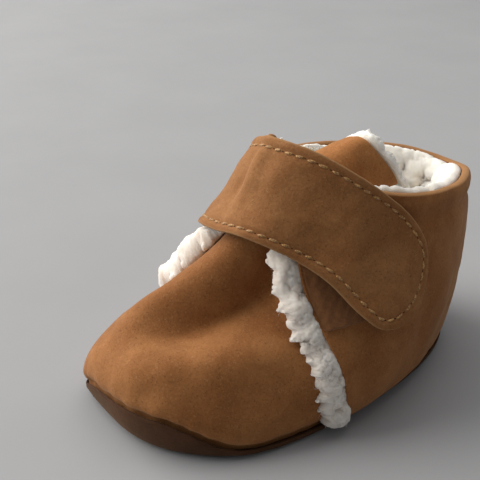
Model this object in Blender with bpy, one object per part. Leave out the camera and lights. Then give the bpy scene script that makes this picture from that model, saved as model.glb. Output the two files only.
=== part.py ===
"""Baby bootie for a left foot: nubuck upper with a curly fleece lining and a hook-and-loop strap.

Metres, +Z up, toe towards -Y, outer side of the foot towards +X, resting on the floor at z = 0.
Every layer of the upper is laid on one envelope surface, at its own distance from it.
"""

import math

import bpy
import numpy as np
from mathutils import Matrix, Vector

# Sole outline and the seam where the upper meets the sole
SOLE_LENGTH = 0.124
SOLE_WIDTH = 0.066
SOLE_TAPER = 0.122
TOE_SKEW = -0.0078
SIDE_POWER = 0.723
END_POWER = 0.808
SEAM_HEIGHT = 0.0027
TOE_SEAM_HEIGHT = 0.0133
TOE_SEAM_ANGLE, TOE_SEAM_SPREAD, TOE_SEAM_POWER = 17.0, 30.0, 3.5
HEEL_SEAM_HEIGHT = 0.0032
FLAT_SHARE = 0.50
DISH_POWER = 20.0
OUTSOLE_THICKNESS = 0.0016

# Mouth rim: an ellipse in plan, flattened at the front inner side, with its height at eight
# stations from the toe round by the outer side
RIM_CENTRE_X = 0.0025
RIM_CENTRE_Y = 0.0305
RIM_HALF_WIDTH = 0.0236
RIM_HALF_LENGTH = 0.0370
RIM_FLAT, RIM_FLAT_ANGLE = 0.17, -35.0
RIM_HEIGHTS = (0.0774, 0.0701, 0.0628, 0.0594, 0.0560, 0.0587, 0.0613, 0.0694)

# Rise and bulge of the envelope just above the seam, and its flare just below the rim
RISE_TOE, RISE_CORNER, RISE_SIDE, RISE_HEEL = 0.0298, 0.0194, 0.0217, 0.0255
BULGE_TOE, BULGE_CORNER, BULGE_SIDE, BULGE_HEEL = 0.0042, 0.0042, 0.0042, 0.0029
FLARE_TOE, FLARE_CORNER, FLARE_SIDE, FLARE_HEEL = 0.0240, 0.0053, 0.0031, 0.0019
DROP_TOE, DROP_CORNER, DROP_SIDE, DROP_HEEL = 0.0483, 0.0380, 0.0211, 0.0220

# Layer thicknesses and the clearance left between neighbours
NUBUCK = 0.0011
FLEECE = 0.0038
FLEECE_OVERLAP = 0.0023
CLEARANCE = 0.00035
FLEECE_CLEARANCE = 0.0008
COLLAR_TURN = 0.0011
PATCH = 0.0008
STRAP_FACE = 0.0011
STRAP_BACKING = 0.0008
HOOK = 0.0008

# Front edge of the quarter, in degrees round from the toe, at equal steps of height from seam to rim
EDGE_OUTER = (87.0, 80.5, 62.5, 34.5, 18.5)
EDGE_INNER = (-84.0, -73.5, -51.5, -30.0, -17.0)
FLEECE_SHOWS = 0.0052
VAMP_UNDERLAP = 0.0085
VAMP_TOP = 0.845

# Patches on the quarter, under the strap: how far back and up they reach
PATCH_LOW_SHARE, PATCH_TOP_SHARE = 0.53, 0.775
LOOP_PATCH_REAR = 79.0
ANCHOR_PATCH_REAR = -70.0
PATCH_SETBACK = 0.0018

# Tongue; it bends at its split, closing on its lining, which stops further from the split
TONGUE_START, TONGUE_TOP = 0.868, 0.93
TONGUE_SPLIT = 0.46
TONGUE_SPLIT_GAP = 0.018
TONGUE_LINING_GAP = 0.090
TONGUE_OUTER = 60.0
TONGUE_INNER = -50.0
TONGUE_TIP = (0.0131, 0.0168, 0.0794)
TONGUE_CORNER_OUTER = (0.0205, 0.0269, 0.0617)
TONGUE_CORNER_INNER = (-0.0135, 0.0180, 0.0600)
TONGUE_TIP_ROUND = 0.32
TONGUE_FLEECE = 0.0036

# Strap edges: degrees round from the toe and share of the height, at equal steps from sewn end to tip
STRAP_TOP_ANGLE = (-73.0, -55.0, -14.5, 20.5, 61.0, 90.0)
STRAP_TOP_SHARE = (0.79, 0.92, 0.985, 1.025, 1.00, 0.665)
STRAP_LOW_ANGLE = (-55.5, -35.0, -6.5, 16.0, 47.0, 87.5)
STRAP_LOW_SHARE = (0.54, 0.675, 0.76, 0.80, 0.715, 0.41)
STRAP_ROUND_LOW, STRAP_ROUND_TOP = 0.065, 0.095
STRAP_SPLITS = (0.335, 0.575, 0.775)
STRAP_SPLIT_GAP = 0.0008
STRAP_LENGTH = 0.1075
HINGE_RAISE = 0.0002
HOOK_START, HOOK_END, HOOK_INSET = 0.80, 0.955, 0.16

FOOTBED_INSET = 0.0066
FOOTBED_FLARE = 0.0004
FOOTBED_THICKNESS = 0.0042

COLUMNS_QUARTER = 32
COLUMNS_VAMP = 22
ROWS = 11

# Finishes: red, green, blue and roughness
TAN_NUBUCK = (0.42, 0.20, 0.075, 0.85)
STRAP_NUBUCK = (0.30, 0.145, 0.055, 0.85)
CREAM_FLEECE = (0.86, 0.80, 0.70, 0.95)
BROWN_SUEDE = (0.150, 0.070, 0.028, 0.85)
BROWN_BACKING = (0.16, 0.085, 0.040, 0.85)
BRUSHED_LOOP = (0.20, 0.095, 0.040, 0.9)
HOOK_TAPE = (0.10, 0.055, 0.030, 0.6)


def periodic_spline(values, angle):
    """Smooth closed curve through values at equal angles, the first at zero."""
    count = len(values)
    step = 2 * math.pi / count
    values = np.asarray(values, float)
    matrix = np.zeros((count, count))
    for i in range(count):
        matrix[i, i] = 4.0
        matrix[i, (i + 1) % count] += 1.0
        matrix[i, (i - 1) % count] += 1.0
    second = np.roll(values, -1) - 2 * values + np.roll(values, 1)
    bend = np.linalg.solve(matrix, 6 * second / step**2)
    place = np.mod(angle, 2 * math.pi) / step
    low = np.floor(place).astype(int) % count
    high = (low + 1) % count
    b = place - np.floor(place)
    a = 1 - b
    curve = a * values[low] + b * values[high]
    return curve + ((a**3 - a) * bend[low] + (b**3 - b) * bend[high]) * step**2 / 6


def smooth_curve(values, place):
    """Natural cubic curve through values at equal steps of place, from 0 to 1."""
    values = np.asarray(values, float)
    count = len(values)
    matrix = np.eye(count)
    pull = np.zeros(count)
    for i in range(1, count - 1):
        matrix[i, i - 1 : i + 2] = (1.0, 4.0, 1.0)
        pull[i] = 6 * (values[i - 1] - 2 * values[i] + values[i + 1])
    bend = np.linalg.solve(matrix, pull)
    place = np.clip(place, 0.0, 1.0) * (count - 1)
    low = np.minimum(np.floor(place).astype(int), count - 2)
    b = place - low
    a = 1 - b
    curve = a * values[low] + b * values[low + 1]
    return curve + ((a**3 - a) * bend[low] + (b**3 - b) * bend[low + 1]) / 6


def mirrored_stations(toe, corner, side, heel):
    rear = (side + heel) / 2
    return (toe, corner, side, rear, heel, rear, side, corner)


def signed_power(value, power):
    return np.sign(value) * np.abs(value) ** power


def smooth_step(value):
    value = np.clip(value, 0.0, 1.0)
    return value * value * (3 - 2 * value)


def seam_height(angle):
    """Height of the sole's seam: it climbs over the front of the toe and a little at the heel."""
    away = np.degrees(np.arctan2(np.sin(angle), np.cos(angle))) - TOE_SEAM_ANGLE
    front = np.exp(-((np.abs(away) / TOE_SEAM_SPREAD) ** TOE_SEAM_POWER))
    back = np.maximum(0.0, -np.cos(angle)) ** 4
    return SEAM_HEIGHT + (TOE_SEAM_HEIGHT - SEAM_HEIGHT) * front + (HEEL_SEAM_HEIGHT - SEAM_HEIGHT) * back


def outline(angle):
    """Plan position of the sole edge."""
    along = np.cos(angle)
    across = np.sin(angle)
    skew = TOE_SKEW * np.maximum(0.0, along) ** 2
    x = SOLE_WIDTH / 2 * signed_power(across, SIDE_POWER) * (1 + SOLE_TAPER * along) + skew
    y = -SOLE_LENGTH / 2 * signed_power(along, END_POWER)
    return x, y


def rim(angle):
    reach = 1 - RIM_FLAT * np.maximum(0.0, np.cos(angle - math.radians(RIM_FLAT_ANGLE))) ** 4
    x = RIM_CENTRE_X + RIM_HALF_WIDTH * reach * np.sin(angle)
    y = RIM_CENTRE_Y - RIM_HALF_LENGTH * reach * np.cos(angle)
    return np.stack([x, y, periodic_spline(RIM_HEIGHTS, angle)], -1)


def envelope(angle, share):
    """Point of the base surface: angle round from the toe, share of the way up from seam to rim."""
    angle = np.asarray(angle, float)
    share = np.asarray(share, float)[..., None]
    x, y = outline(angle)
    low = np.stack([x, y, seam_height(angle) + CLEARANCE], -1)
    high = rim(angle)
    out = np.stack([np.sin(angle), -np.cos(angle), 0 * angle], -1)
    up = np.array([0.0, 0.0, 1.0])
    rise = periodic_spline(mirrored_stations(RISE_TOE, RISE_CORNER, RISE_SIDE, RISE_HEEL), angle)
    bulge = periodic_spline(mirrored_stations(BULGE_TOE, BULGE_CORNER, BULGE_SIDE, BULGE_HEEL), angle)
    flare = periodic_spline(mirrored_stations(FLARE_TOE, FLARE_CORNER, FLARE_SIDE, FLARE_HEEL), angle)
    drop = periodic_spline(mirrored_stations(DROP_TOE, DROP_CORNER, DROP_SIDE, DROP_HEEL), angle)
    base = np.stack([x, y, 0 * x + SEAM_HEIGHT], -1)
    lower = base + out * bulge[..., None] + up * rise[..., None]
    upper = high + out * flare[..., None] - up * drop[..., None]
    inside = np.clip(share, 0.0, 1.0)
    rest = 1 - inside
    curve = rest**3 * low + 3 * inside * rest**2 * lower + 3 * inside**2 * rest * upper + inside**3 * high
    return curve + 3 * (high - upper) * (share - inside)


def normal(angle, share):
    small = 1e-3
    around = envelope(angle + small, share) - envelope(angle - small, share)
    rising = envelope(angle, share + small) - envelope(angle, share - small)
    across = np.cross(around, rising)
    return across / np.linalg.norm(across, axis=-1, keepdims=True)


def layer(angle, share, height):
    """Envelope moved outwards by height."""
    return envelope(angle, share) + normal(angle, share) * np.asarray(height)[..., None]


def shifted_edge(share, angles, distance):
    """Angle of the quarter's front edge after moving it by distance, towards the heel if positive."""
    side = 1.0 if angles[0] > 0 else -1.0
    angle = np.radians(smooth_curve(angles, share))
    small = 0.02
    span = envelope(angle + small, share) - envelope(angle - small, share)
    rate = np.linalg.norm(span, axis=-1) / (2 * small)
    return angle + side * distance / rate


def material(name, finish):
    made = bpy.data.materials.new(name)
    made.use_nodes = True
    shader = made.node_tree.nodes["Principled BSDF"]
    shader.inputs["Base Color"].default_value = (*finish[:3], 1.0)
    shader.inputs["Roughness"].default_value = finish[3]
    return made


def add_object(name, points, faces, finish):
    mesh = bpy.data.meshes.new(name)
    mesh.from_pydata([tuple(p) for p in points], [], faces)
    mesh.materials.append(material(name, finish))
    mesh.validate()
    mesh.update()
    for polygon in mesh.polygons:
        polygon.use_smooth = True
    obj = bpy.data.objects.new(name, mesh)
    bpy.context.scene.collection.objects.link(obj)
    return obj


def sheet_solid(name, outer, inner, finish, round_low=False):
    """Closed solid between two grids of points with the same shape, with softly rounded edges."""
    rows, columns = outer.shape[:2]
    points = list(outer.reshape(-1, 3)) + list(inner.reshape(-1, 3))
    half = rows * columns

    def at(side, i, j):
        return side * half + i * columns + j

    faces = []
    for i in range(rows - 1):
        for j in range(columns - 1):
            a, b, c, d = at(0, i, j), at(0, i, j + 1), at(0, i + 1, j + 1), at(0, i + 1, j)
            for corners in ((a, b, c), (a, c, d)):
                faces.append(corners)
                faces.append(tuple(k + half for k in reversed(corners)))
    ring = [(0, j) for j in range(columns - 1)]
    ring += [(i, columns - 1) for i in range(rows - 1)]
    ring += [(rows - 1, j) for j in range(columns - 1, 0, -1)]
    ring += [(i, 0) for i in range(rows - 1, 0, -1)]
    centre = [edge_bulge(outer, inner, i, j, round_low) for i, j in ring]
    base = len(points)
    points += centre
    for k, (i, j) in enumerate(ring):
        n = (k + 1) % len(ring)
        i2, j2 = ring[n]
        faces.append((at(0, i2, j2), at(0, i, j), base + k, base + n))
        faces.append((base + n, base + k, at(1, i, j), at(1, i2, j2)))
    return add_object(name, points, orient(points, faces), finish)


def edge_bulge(outer, inner, i, j, round_low):
    """Middle point of an edge wall, pushed out by a third of the wall so that the edge is round."""
    rows, columns = outer.shape[:2]
    middle = (outer[i, j] + inner[i, j]) / 2
    push = np.zeros(3)
    if i == 0 and round_low:
        push += outer[0, j] - outer[1, j]
    if i == rows - 1:
        push += outer[i, j] - outer[i - 1, j]
    if j == 0:
        push += outer[i, 0] - outer[i, 1]
    if j == columns - 1:
        push += outer[i, j] - outer[i, j - 1]
    wall = np.linalg.norm(outer[i, j] - inner[i, j])
    return middle + push / max(np.linalg.norm(push), 1e-9) * wall * 0.12


def orient(points, faces):
    """Turns every face round if the solid came out inside out."""
    total = 0.0
    for face in faces:
        a = points[face[0]]
        for k in range(1, len(face) - 1):
            total += np.dot(a, np.cross(points[face[k]], points[face[k + 1]]))
    if total < 0:
        return [tuple(reversed(face)) for face in faces]
    return faces


def spread(start, end, count):
    """Rows of values from start to end, one row for each pair."""
    steps = np.linspace(0.0, 1.0, count)[None, :]
    return start[:, None] * (1 - steps) + end[:, None] * steps


def quarter_height(angle, share):
    """How far the quarter's outer face stands off the envelope: most in front, little at the heel."""
    turned = np.abs(np.arctan2(np.sin(angle), np.cos(angle)))
    squeeze = 1 - 0.55 * smooth_step(1 - share / 0.16)
    full = FLEECE_CLEARANCE + CLEARANCE + FLEECE_OVERLAP * squeeze + NUBUCK
    forward = smooth_step((math.radians(140) - turned) / math.radians(62))
    return 0.0003 + (full - 0.0003) * forward


def quarter_lining_floor(angle, share, outer_start, inner_start):
    """Inner face of the quarter's fleece: above the vamp in front, below the envelope behind."""
    turned = np.arctan2(np.sin(angle), np.cos(angle))
    blend = smooth_step((share - 0.70) / 0.14)
    limit_outer = outer_start * (1 - blend) + math.radians(TONGUE_OUTER + 6) * blend
    limit_inner = -inner_start * (1 - blend) + math.radians(6 - TONGUE_INNER) * blend
    limit = np.where(turned > 0, limit_outer, limit_inner)
    behind = smooth_step((np.abs(turned) - limit) / math.radians(16))
    deep = FLEECE + NUBUCK + 2 * CLEARANCE
    return FLEECE_CLEARANCE - (deep + FLEECE_CLEARANCE) * behind


def quarter_grid(margin):
    """Grid over the quarter; a margin adds one column in front of each front edge."""
    shares = np.concatenate([np.linspace(0.0, 0.93, ROWS - 2), [0.975, 1.0]])
    start = shifted_edge(shares, EDGE_OUTER, 0.0)
    end = 2 * math.pi + shifted_edge(shares, EDGE_INNER, 0.0)
    angles = spread(start, end, COLUMNS_QUARTER + 1)
    if margin:
        start = shifted_edge(shares, EDGE_OUTER, -margin)
        end = 2 * math.pi + shifted_edge(shares, EDGE_INNER, -margin)
        angles = np.concatenate([start[:, None], angles, end[:, None]], axis=1)
        shares = np.where(shares > 0.99, 0.99, shares)
    return angles, np.repeat(shares[:, None], angles.shape[1], axis=1)


def collar_turn(shares):
    """Extra thickness of the nubuck where its top edge is turned in."""
    return COLLAR_TURN * smooth_step((shares - 0.90) / 0.08)


def build_quarter():
    """Nubuck quarter round the heel, with its top edge turned in to make the rolled collar."""
    angles, shares = quarter_grid(0.0)
    outside = quarter_height(angles, shares)
    outer = layer(angles, shares, outside - 0.0004 * (shares > 0.99))
    inner = layer(angles, shares, outside - NUBUCK - collar_turn(shares))
    sheet_solid("quarter", outer, inner, TAN_NUBUCK)


def build_quarter_lining():
    """Fleece lining of the quarter; its front edges stand out past the nubuck, over the vamp."""
    angles, shares = quarter_grid(FLEECE_SHOWS)
    outside = quarter_height(angles, shares) - NUBUCK - CLEARANCE - collar_turn(shares)
    outer_start = shifted_edge(shares[:, 0], EDGE_OUTER, VAMP_UNDERLAP + 0.001)[:, None]
    inner_start = shifted_edge(shares[:, 0], EDGE_INNER, VAMP_UNDERLAP + 0.001)[:, None]
    inside = quarter_lining_floor(angles, shares, outer_start, inner_start)
    inside = np.minimum(inside, outside - 0.0009)
    outer = layer(angles, shares, outside)
    sheet_solid("quarter_lining", outer, layer(angles, shares, inside), CREAM_FLEECE)


def build_patch(name, edges, rear):
    """Patch of brushed cloth on the quarter; its front edge follows the quarter's edge."""
    shares = np.linspace(PATCH_LOW_SHARE, PATCH_TOP_SHARE, 5)
    start = shifted_edge(shares, edges, PATCH_SETBACK)
    angles = spread(start, 0 * start + math.radians(rear), 8)
    grid = np.repeat(shares[:, None], angles.shape[1], axis=1)
    base = quarter_height(angles, grid) + 1.5 * CLEARANCE
    outer = layer(angles, grid, base + PATCH)
    sheet_solid(name, outer, layer(angles, grid, base), BRUSHED_LOOP)


def vamp_grid():
    shares = np.linspace(0.0, VAMP_TOP, ROWS)
    start = shifted_edge(shares, EDGE_INNER, VAMP_UNDERLAP)
    end = shifted_edge(shares, EDGE_OUTER, VAMP_UNDERLAP)
    angles = spread(start, end, COLUMNS_VAMP + 1)
    return angles, np.repeat(shares[:, None], angles.shape[1], axis=1)


def build_vamp_layer(name, height, thickness, finish):
    """One layer of the vamp, its outer face at height above the envelope."""
    angles, shares = vamp_grid()
    outer = layer(angles, shares, 0.0 * angles + height)
    inner = layer(angles, shares, 0.0 * angles + height - thickness)
    sheet_solid(name, outer, inner, finish)


def tongue_end(across):
    """Top edge of the tongue: a rounded triangle, across from -1 (inner corner) to 1 (outer corner)."""
    tip = np.array(TONGUE_TIP)
    inner = np.array(TONGUE_CORNER_INNER)
    outer = np.array(TONGUE_CORNER_OUTER)
    blunt = TONGUE_TIP_ROUND
    share = (np.sqrt(across**2 + blunt) - math.sqrt(blunt)) / (math.sqrt(1 + blunt) - math.sqrt(blunt))
    side = (1 + across / np.sqrt(across**2 + blunt) * math.sqrt(1 + blunt)) / 2
    corner = inner * (1 - side[..., None]) + outer * side[..., None]
    end = tip * (1 - share[..., None]) + corner * share[..., None]
    wide = (outer[0] - inner[0]) / 2
    lean = (outer[0] + inner[0]) / 2 - tip[0]
    end[..., 0] = tip[0] + across * wide + across**2 * lean
    return end


def tongue_surface(across, rise):
    """Point of the tongue: it leaves the vamp, runs under the quarter and folds back over the mouth."""
    inner = math.radians(TONGUE_INNER)
    outer = math.radians(TONGUE_OUTER)
    angle = (inner + outer) / 2 + across * (outer - inner) / 2
    start = envelope(angle, 0 * angle + TONGUE_START)
    up = envelope(angle, 0 * angle + 1.0) - start
    end = tongue_end(across)
    lean = np.array([0.0, 0.0075, 0.0005])
    first = start + up * 0.55
    second = end - lean * (1 - 0.5 * np.abs(across))[..., None]
    rise = rise[..., None]
    rest = 1 - rise
    curve = rest**3 * start + 3 * rise * rest**2 * first + 3 * rise**2 * rest * second + rise**3 * end
    return curve


def tongue_layer(low, high, depth, margin):
    """Grid over part of the tongue; a margin adds a column past each side, and a row at the tip."""
    columns = np.linspace(-0.9, 0.9, 13)
    rows = np.linspace(low, high, 5)
    if margin:
        columns = np.concatenate([[-0.9 - margin], columns, [0.9 + margin]])
    if margin and high > 0.9:
        rows = np.concatenate([rows, [high + margin * 0.8]])
    across = np.repeat(columns[None, :], len(rows), axis=0)
    rise = np.repeat(rows[:, None], len(columns), axis=1)
    small = 1e-3
    wide = tongue_surface(across + small, rise) - tongue_surface(across - small, rise)
    tall = tongue_surface(across, rise + small) - tongue_surface(across, rise - small)
    out = np.cross(wide, tall)
    out /= np.linalg.norm(out, axis=-1, keepdims=True)
    return tongue_surface(across, rise) - out * depth


def build_tongue_length(suffix, front, lining):
    """Nubuck and fleece over one length of the tongue, each between its own two rises."""
    face = 0.0004
    outer = tongue_layer(*front, face, 0.0)
    inner = tongue_layer(*front, face + NUBUCK, 0.0)
    nubuck = sheet_solid("tongue" + suffix, outer, inner, TAN_NUBUCK)
    under = face + NUBUCK + 1.5 * CLEARANCE
    outer = tongue_layer(*lining, under, 0.08)
    inner = tongue_layer(*lining, under + TONGUE_FLEECE, 0.08)
    return nubuck, sheet_solid("tongue" + suffix + "_lining", outer, inner, CREAM_FLEECE)


def build_tongue():
    """The tongue's fixed base and its free flap; gives the flap's pieces."""
    split, gap, wide_gap = TONGUE_SPLIT, TONGUE_SPLIT_GAP, TONGUE_LINING_GAP
    build_tongue_length("_base", (0.0, split - gap), (0.0, split - wide_gap))
    return build_tongue_length("_flap", (split + gap, TONGUE_TOP), (split + wide_gap, TONGUE_TOP))


def tongue_axis():
    """Two points on the line that the tongue's free flap bends about, at the sides of its root."""
    across = np.array([-0.9, 0.9])
    rise = np.array([TONGUE_SPLIT, TONGUE_SPLIT])
    return tongue_surface(across, rise)


def strap_point(along, across, height):
    """Point of the strap: along from the sewn end to the tip, across from lower to upper edge."""
    low, high = smooth_curve(STRAP_LOW_ANGLE, along), smooth_curve(STRAP_TOP_ANGLE, along)
    angle = np.radians(low * (1 - across) + high * across)
    low, high = smooth_curve(STRAP_LOW_SHARE, along), smooth_curve(STRAP_TOP_SHARE, along)
    share = low * (1 - across) + high * across
    return layer(angle, share, quarter_height(angle, share) + height)


def plan_ring(angles, inset):
    """Points of the sole edge moved inwards by inset, seen from above."""
    x, y = outline(angles)
    x2, y2 = outline(angles + 1e-3)
    x1, y1 = outline(angles - 1e-3)
    tangent = np.stack([x2 - x1, y2 - y1], -1)
    tangent /= np.linalg.norm(tangent, axis=-1, keepdims=True)
    inward = np.stack([-tangent[..., 1], tangent[..., 0]], -1)
    return np.stack([x, y], -1) + inward * inset


def dish_height(angle, ring, edge):
    """Height of the outsole's underside: flat in the middle, turned up towards the seam."""
    lift = np.maximum(0.0, (ring - FLAT_SHARE) / (1 - FLAT_SHARE)) ** DISH_POWER
    return (edge - OUTSOLE_THICKNESS) * lift


def disc_solid(name, rings_low, rings_high, finish):
    """Closed solid from two stacks of rings, each running from the middle to the edge."""
    count = rings_low[0].shape[0]
    points = []
    for rings in (rings_low, rings_high):
        points.append(rings[0].mean(axis=0))
        for ring in rings:
            points += list(ring)
    half = 1 + count * len(rings_low)
    faces = []
    for side in (0, 1):
        start = side * half
        for j in range(count):
            k = (j + 1) % count
            fan = (start, start + 1 + j, start + 1 + k)
            faces.append(fan if side else tuple(reversed(fan)))
            for r in range(len(rings_low) - 1):
                near = start + 1 + r * count
                far = near + count
                quad = (near + j, far + j, far + k, near + k)
                faces.append(quad if side else tuple(reversed(quad)))
    last = 1 + (len(rings_low) - 1) * count
    for j in range(count):
        k = (j + 1) % count
        faces.append((last + j, last + k, half + last + k, half + last + j))
    return add_object(name, points, orient(points, faces), finish)


def build_outsole():
    angles = np.radians(np.arange(0.0, 360.0, 5.0))
    low, high = [], []
    edge = seam_height(angles)
    for ring in (0.50, 0.80, 0.92, 0.96, 0.985, 1.0):
        plan = plan_ring(angles, 0.0) * ring
        under = dish_height(angles, ring, edge)
        low.append(np.concatenate([plan, under[:, None]], axis=1))
        high.append(np.concatenate([plan, under[:, None] + OUTSOLE_THICKNESS], axis=1))
    disc_solid("outsole", low, high, BROWN_SUEDE)


def build_footbed():
    angles = np.radians(np.arange(0.0, 360.0, 10.0))
    low, high = [], []
    edge = seam_height(angles)
    for ring in (0.50, 0.80, 1.0):
        plan = plan_ring(angles, FOOTBED_INSET) * ring
        reach = np.linalg.norm(plan, axis=-1) / np.linalg.norm(plan_ring(angles, 0.0), axis=-1)
        under = dish_height(angles, reach, edge) + OUTSOLE_THICKNESS + 2 * CLEARANCE
        low.append(np.concatenate([plan, under[:, None]], axis=1))
        wide = plan_ring(angles, FOOTBED_INSET - FOOTBED_FLARE * (ring == 1.0)) * ring
        top = under + FOOTBED_THICKNESS
        high.append(np.concatenate([wide, top[:, None]], axis=1))
    disc_solid("footbed", low, high, CREAM_FLEECE)


def strap_lift(along):
    """Height of the strap's backing above the quarter: more where a patch lies beneath it."""
    anchor = (PATCH + 2 * CLEARANCE) * smooth_step((0.46 - along) / 0.12)
    loop = (PATCH + 2 * CLEARANCE) * smooth_step((along - 0.44) / 0.12)
    hook = (HOOK + CLEARANCE) * smooth_step((along - 0.68) / 0.12)
    return CLEARANCE + anchor + loop + hook


def tip_reach(along, side):
    """Share of the strap's half width left at each place on its lower (-1) or upper side (1)."""
    length = np.where(side < 0, STRAP_ROUND_LOW, STRAP_ROUND_TOP)
    into = np.clip((along - 1 + length) / length, 0.0, 1.0)
    return np.sqrt(np.maximum(0.0, 1 - (0.97 * into) ** 2.5))


def strap_grid(start, end, margin, height, columns=7):
    """Grid over a length of the strap, at a height above the quarter, kept margin inside its edges."""
    count = max(4, int(round((end - start) * 30)))
    steps = np.linspace(start, end, count)
    if end > 1 - STRAP_ROUND_LOW:
        steps = np.concatenate([np.linspace(start, 0.89, 5), [0.915, 0.94, 0.96, 0.975, 0.986, 0.995]])
    along = np.repeat(steps[:, None], columns, axis=1)
    side = np.linspace(-1.0, 1.0, columns)[None, :] * (1 - margin)
    across = 0.5 + 0.5 * side * tip_reach(along, side)
    return strap_point(along, across, strap_lift(along) + height)


def build_strap(name, start, end):
    under = strap_grid(start, end, 0.03, 0.0)
    over = strap_grid(start, end, 0.03, STRAP_BACKING)
    lower = sheet_solid(name + "_backing", over, under, BROWN_BACKING, True)
    face = STRAP_BACKING + CLEARANCE
    under = strap_grid(start, end, 0.0, face)
    over = strap_grid(start, end, 0.0, face + STRAP_FACE)
    upper = sheet_solid(name, over, under, STRAP_NUBUCK, True)
    return upper, lower


def strap_axis(place):
    """Two points on the line across the strap's outer face that its next part bends about."""
    face = strap_lift(np.array([place])) + STRAP_BACKING + CLEARANCE + STRAP_FACE + HINGE_RAISE
    low = strap_point(np.array([place]), np.array([0.0]), face)[0]
    high = strap_point(np.array([place]), np.array([1.0]), face)[0]
    return np.array([low, high])


def build_hook():
    """Hook patch under the tab, with its end rounded like the tab's."""
    steps = np.linspace(HOOK_START, HOOK_END, 7)
    along = np.repeat(steps[:, None], 5, axis=1)
    side = np.linspace(-1.0, 1.0, 5)[None, :] * (1 - HOOK_INSET)
    across = 0.5 + 0.5 * side * tip_reach(along + 0.99 - HOOK_END, side)
    base = strap_lift(along) - CLEARANCE
    over = strap_point(along, across, base)
    under = strap_point(along, across, base - HOOK)
    return sheet_solid("hook_patch", over, under, HOOK_TAPE)


def build_straps():
    """The strap in four lengths; gives the pieces that move with each of its three bend lines."""
    first, second, third = STRAP_SPLITS
    gap = STRAP_SPLIT_GAP / STRAP_LENGTH / 2
    build_strap("strap_anchor", 0.0, first - gap)
    bridge = build_strap("strap_bridge", first + gap, second - gap)
    shoulder = build_strap("strap_shoulder", second + gap, third - gap)
    tab = build_strap("strap_tab", third + gap, 1.0)
    return [bridge, shoulder, tab + (build_hook(),)]


def centre_on_floor():
    """Moves every piece so that the whole object's box stands centred on the origin; gives the move."""
    made = [obj for obj in bpy.data.objects if obj.type == "MESH"]
    corners = np.concatenate([[tuple(v.co) for v in obj.data.vertices] for obj in made])
    middle = (corners.min(axis=0) + corners.max(axis=0)) / 2
    move = np.array([-middle[0], -middle[1], -corners[:, 2].min()])
    for obj in made:
        obj.data.transform(Matrix.Translation(move))
    return move


def put_origin(pieces, axis):
    """Puts the origin of each moving piece on the middle of the line it turns about."""
    place = Vector(axis.mean(axis=0))
    for obj in pieces:
        obj.data.transform(Matrix.Translation(-place))
        obj.location = place


def main():
    for old in list(bpy.data.objects):
        bpy.data.objects.remove(old, do_unlink=True)
    build_outsole()
    build_footbed()
    build_vamp_layer("vamp", 0.0, NUBUCK, TAN_NUBUCK)
    build_vamp_layer("vamp_lining", -NUBUCK - 2 * CLEARANCE, FLEECE, CREAM_FLEECE)
    build_quarter()
    build_quarter_lining()
    build_patch("loop_patch", EDGE_OUTER, LOOP_PATCH_REAR)
    build_patch("anchor_patch", EDGE_INNER, ANCHOR_PATCH_REAR)
    flap = build_tongue()
    strap_parts = build_straps()
    move = centre_on_floor()
    put_origin(flap, tongue_axis() + move)
    for pieces, place in zip(strap_parts, STRAP_SPLITS):
        put_origin(pieces, strap_axis(place) + move)


main()
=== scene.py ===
"""Looks for the baby bootie: napped nubuck, curly fleece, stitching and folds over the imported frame.

Metres, in the frame of the CAD part: +Z up, toe towards -Y, outer side towards +X. The upper's pieces
are laid on the same envelope surface as the part's solids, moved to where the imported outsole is.
"""

import math

import bpy
import numpy as np
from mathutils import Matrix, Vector
from mathutils.kdtree import KDTree


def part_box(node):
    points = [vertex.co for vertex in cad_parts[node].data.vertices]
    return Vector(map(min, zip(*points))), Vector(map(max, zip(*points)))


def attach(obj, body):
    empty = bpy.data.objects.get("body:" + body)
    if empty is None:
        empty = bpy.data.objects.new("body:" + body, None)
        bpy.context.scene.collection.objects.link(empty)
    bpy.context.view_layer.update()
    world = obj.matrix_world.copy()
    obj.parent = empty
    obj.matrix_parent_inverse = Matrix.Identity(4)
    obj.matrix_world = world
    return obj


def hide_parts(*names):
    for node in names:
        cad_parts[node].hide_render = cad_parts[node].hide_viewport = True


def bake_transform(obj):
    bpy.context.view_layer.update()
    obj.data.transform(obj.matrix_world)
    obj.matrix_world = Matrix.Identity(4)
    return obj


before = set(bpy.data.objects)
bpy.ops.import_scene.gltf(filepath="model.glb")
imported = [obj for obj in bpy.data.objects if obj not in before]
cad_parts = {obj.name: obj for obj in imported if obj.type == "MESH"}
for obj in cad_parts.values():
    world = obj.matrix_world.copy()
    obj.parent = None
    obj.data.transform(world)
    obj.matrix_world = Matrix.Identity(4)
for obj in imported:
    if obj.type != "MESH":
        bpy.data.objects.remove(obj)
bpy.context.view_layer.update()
MM = 0.001
UP = np.array([0.0, 0.0, 1.0])

# Driving sizes of the part: sole outline and seam
SOLE_LENGTH, SOLE_WIDTH, SOLE_TAPER, TOE_SKEW = 0.124, 0.066, 0.122, -0.0078
SIDE_POWER, END_POWER = 0.723, 0.808
SEAM_HEIGHT, TOE_SEAM_HEIGHT, HEEL_SEAM_HEIGHT = 0.0027, 0.0133, 0.0032
TOE_SEAM_ANGLE, TOE_SEAM_SPREAD, TOE_SEAM_POWER = 17.0, 30.0, 3.5
FLAT_SHARE, DISH_POWER, OUTSOLE_THICKNESS = 0.50, 20.0, 0.0016

# Mouth rim: centre, half sizes, and its height at eight stations from the toe by the outer side
RIM_CENTRE, RIM_HALF = (0.0025, 0.0305), (0.0236, 0.0370)
RIM_HEIGHTS = (0.0774, 0.0701, 0.0628, 0.0594, 0.0560, 0.0587, 0.0613, 0.0694)
RIM_FLAT, RIM_FLAT_ANGLE = 0.17, -35.0

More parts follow.
